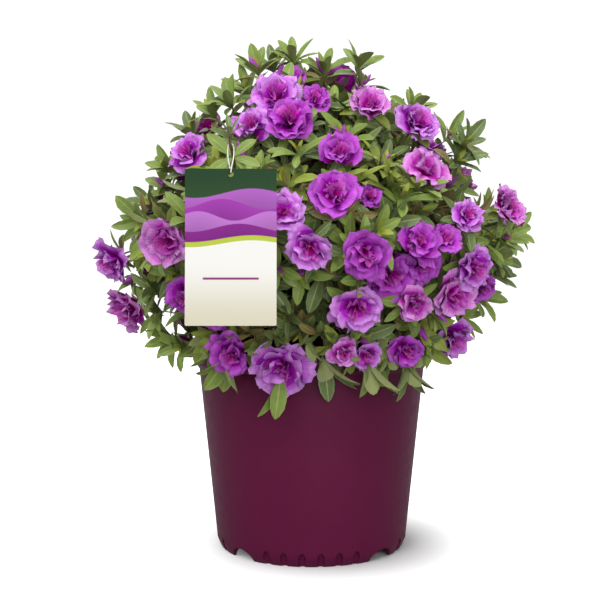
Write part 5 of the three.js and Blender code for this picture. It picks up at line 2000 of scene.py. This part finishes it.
class AZALEA_OT_leaves(bpy.types.Operator):
    """Set whorls of leaves round every shoot and a collar of them behind every bloom"""
    bl_idname = "azalea.make_leaves"
    bl_label = "Leaves"

    def execute(self, context):
        sizes = context.scene.azalea_crown
        leaves, points = make_leaves(grow(), sizes)
        leaf = tuple(sizes.leaf)
        under = srgb(138, 148, 94)
        materials = [
            # The deep green and the bronze are tones of the leaves, and painted shade on the whorls
            # deep inside the crown
            leaf_material("leaf_deep", srgb(98, 116, 66), under, gloss=0.40),
            leaf_material("leaf_mid", leaf, under, gloss=0.42),
            leaf_material("leaf_light", srgb(136, 149, 52), under, gloss=0.44),
            leaf_material("leaf_young", srgb(156, 163, 54), srgb(154, 160, 84), gloss=0.44),
            leaf_material("leaf_bronze", srgb(138, 118, 70), srgb(136, 122, 84), gloss=0.44),
            leaf_material("leaf_rib", srgb(148, 162, 98), under, gloss=0.44),
        ]
        rows, columns = len(LEAF_ROWS), len(LEAF_COLUMNS)
        ribs = np.tile([False, True, False], rows - 1)
        uvs = sheet_uvs(LEAF_COLUMNS, LEAF_ROWS)
        masses = owner_of(leaves["origin"])
        for name, rings in LEAF_PIECES.items():
            part = np.array([mass["name"].startswith(rings) for mass in MASSES])
            mask = part[masses]
            count = int(mask.sum())
            tints = np.where(ribs[None], RIB, leaves["tint"][mask][:, None]).ravel()
            quads = sheet_quads(count, rows, columns)
            piece = joined_piece(name, points[mask].reshape(-1, 3), quads, materials, tints,
                                 uvs=np.tile(uvs, (count, 1)))
            nodes = [f"foliage_{mass['name']}" for mass, chosen in zip(MASSES, part) if chosen]
            finish_piece(piece, nodes)
        return {"FINISHED"}


class AZALEA_OT_blooms(bpy.types.Operator):
    """Open the double blooms, each with four rings of ruffled petals, and set the buds"""
    bl_idname = "azalea.make_blooms"
    bl_label = "Blooms"

    def execute(self, context):
        sizes = context.scene.azalea_bloom
        petals, points = make_petals(sizes)
        tints = (petals["tint"][:, None] * len(ZONE_NAMES) + PETAL_ZONES.ravel()[None]).ravel()
        uvs = np.tile(sheet_uvs(PETAL_COLUMNS, PETAL_ROWS), (len(points), 1))
        quads = sheet_quads(len(points), len(PETAL_ROWS), len(PETAL_COLUMNS))
        piece = joined_piece("petals", points.reshape(-1, 3), quads, petal_materials(sizes), tints,
                             uvs=uvs)
        finish_piece(piece)
        filament = plain_material("stamen", srgb(196, 66, 158), roughness=0.5,
                                  scale=900.0, amount=0.3, depth=0.0001)
        points, quads = make_stamens()
        finish_piece(joined_piece("stamens", points, quads, [filament]))
        green = plain_material("bud_calyx", srgb(122, 142, 74), roughness=0.5,
                               scale=500.0, amount=0.4, depth=0.0002)
        violet = plain_material("bud_petals", srgb(160, 62, 172), roughness=0.45,
                                scale=400.0, amount=0.4, depth=0.0003)
        points, quads, tints = make_buds(grow())
        finish_piece(joined_piece("buds", points, quads, [green, violet], tints))
        return {"FINISHED"}


class AZALEA_OT_tag(bpy.types.Operator):
    """Cut the hang tag and lead its tie over the twig and through its hole"""
    bl_idname = "azalea.make_tag"
    bl_label = "Tag and tie"

    def execute(self, context):
        sizes = context.scene.azalea_tag
        card = make_card(sizes)
        dress(card, card_material(sizes))
        finish_piece(card, ["tag"], angle=30)
        tie = make_tie()
        strand = plain_material("tie_strand", srgb(240, 240, 236), roughness=0.45,
                                scale=900.0, amount=0.1, depth=0.0001)
        dress(tie, strand)
        finish_piece(tie, ["tag_tie"], angle=60)
        return {"FINISHED"}


class AZALEA_OT_stage(bpy.types.Operator):
    """Set up the pale floor, the soft studio light and the camera"""
    bl_idname = "azalea.make_stage"
    bl_label = "Stage"

    def execute(self, context):
        sizes = context.scene.azalea_stage
        floor = new_primitive("floor", bpy.ops.mesh.primitive_plane_add,
                              size=FLOOR_WIDTH, location=(0, 0, 0))
        floor.data.materials.append(floor_material())
        make_world()
        make_camera(sizes)
        for light in LIGHTS:
            power = sizes.key_power * light["share"]
            aimed_light(light["name"], light["spot"], light["size"], power)
        context.scene.view_settings.view_transform = "Standard"
        return {"FINISHED"}


STEPS = (AZALEA_OT_stage, AZALEA_OT_pot, AZALEA_OT_mix, AZALEA_OT_limbs, AZALEA_OT_twigs,
         AZALEA_OT_leaves, AZALEA_OT_blooms, AZALEA_OT_tag)


class AZALEA_PT_shrub(bpy.types.Panel):
    """The steps of the shrub, in order, with the sizes that they use"""
    bl_label = "Potted azalea"
    bl_space_type = "VIEW_3D"
    bl_region_type = "UI"
    bl_category = "Azalea"

    def draw(self, context):
        for step in STEPS:
            self.layout.operator(step.bl_idname)
        for name in SETTINGS:
            box = self.layout.box()
            sizes = getattr(context.scene, name)
            for key in sizes.bl_rna.properties.keys():
                if key not in ("rna_type", "name"):
                    box.prop(sizes, key)


SETTINGS = {
    "azalea_pot": PotSizes,
    "azalea_crown": CrownSizes,
    "azalea_bloom": BloomSizes,
    "azalea_tag": TagSizes,
    "azalea_stage": StageSizes,
}


def register():
    for name, kind in SETTINGS.items():
        bpy.utils.register_class(kind)
        setattr(bpy.types.Scene, name, bpy.props.PointerProperty(type=kind))
    for kind in (*STEPS, AZALEA_PT_shrub):
        bpy.utils.register_class(kind)


def unregister():
    for kind in reversed((*STEPS, AZALEA_PT_shrub)):
        bpy.utils.unregister_class(kind)
    for name, kind in reversed(SETTINGS.items()):
        delattr(bpy.types.Scene, name)
        bpy.utils.unregister_class(kind)


def main():
    register()
    for step in STEPS:
        family, action = step.bl_idname.split(".")
        getattr(getattr(bpy.ops, family), action)()


if __name__ == "__main__":
    main()
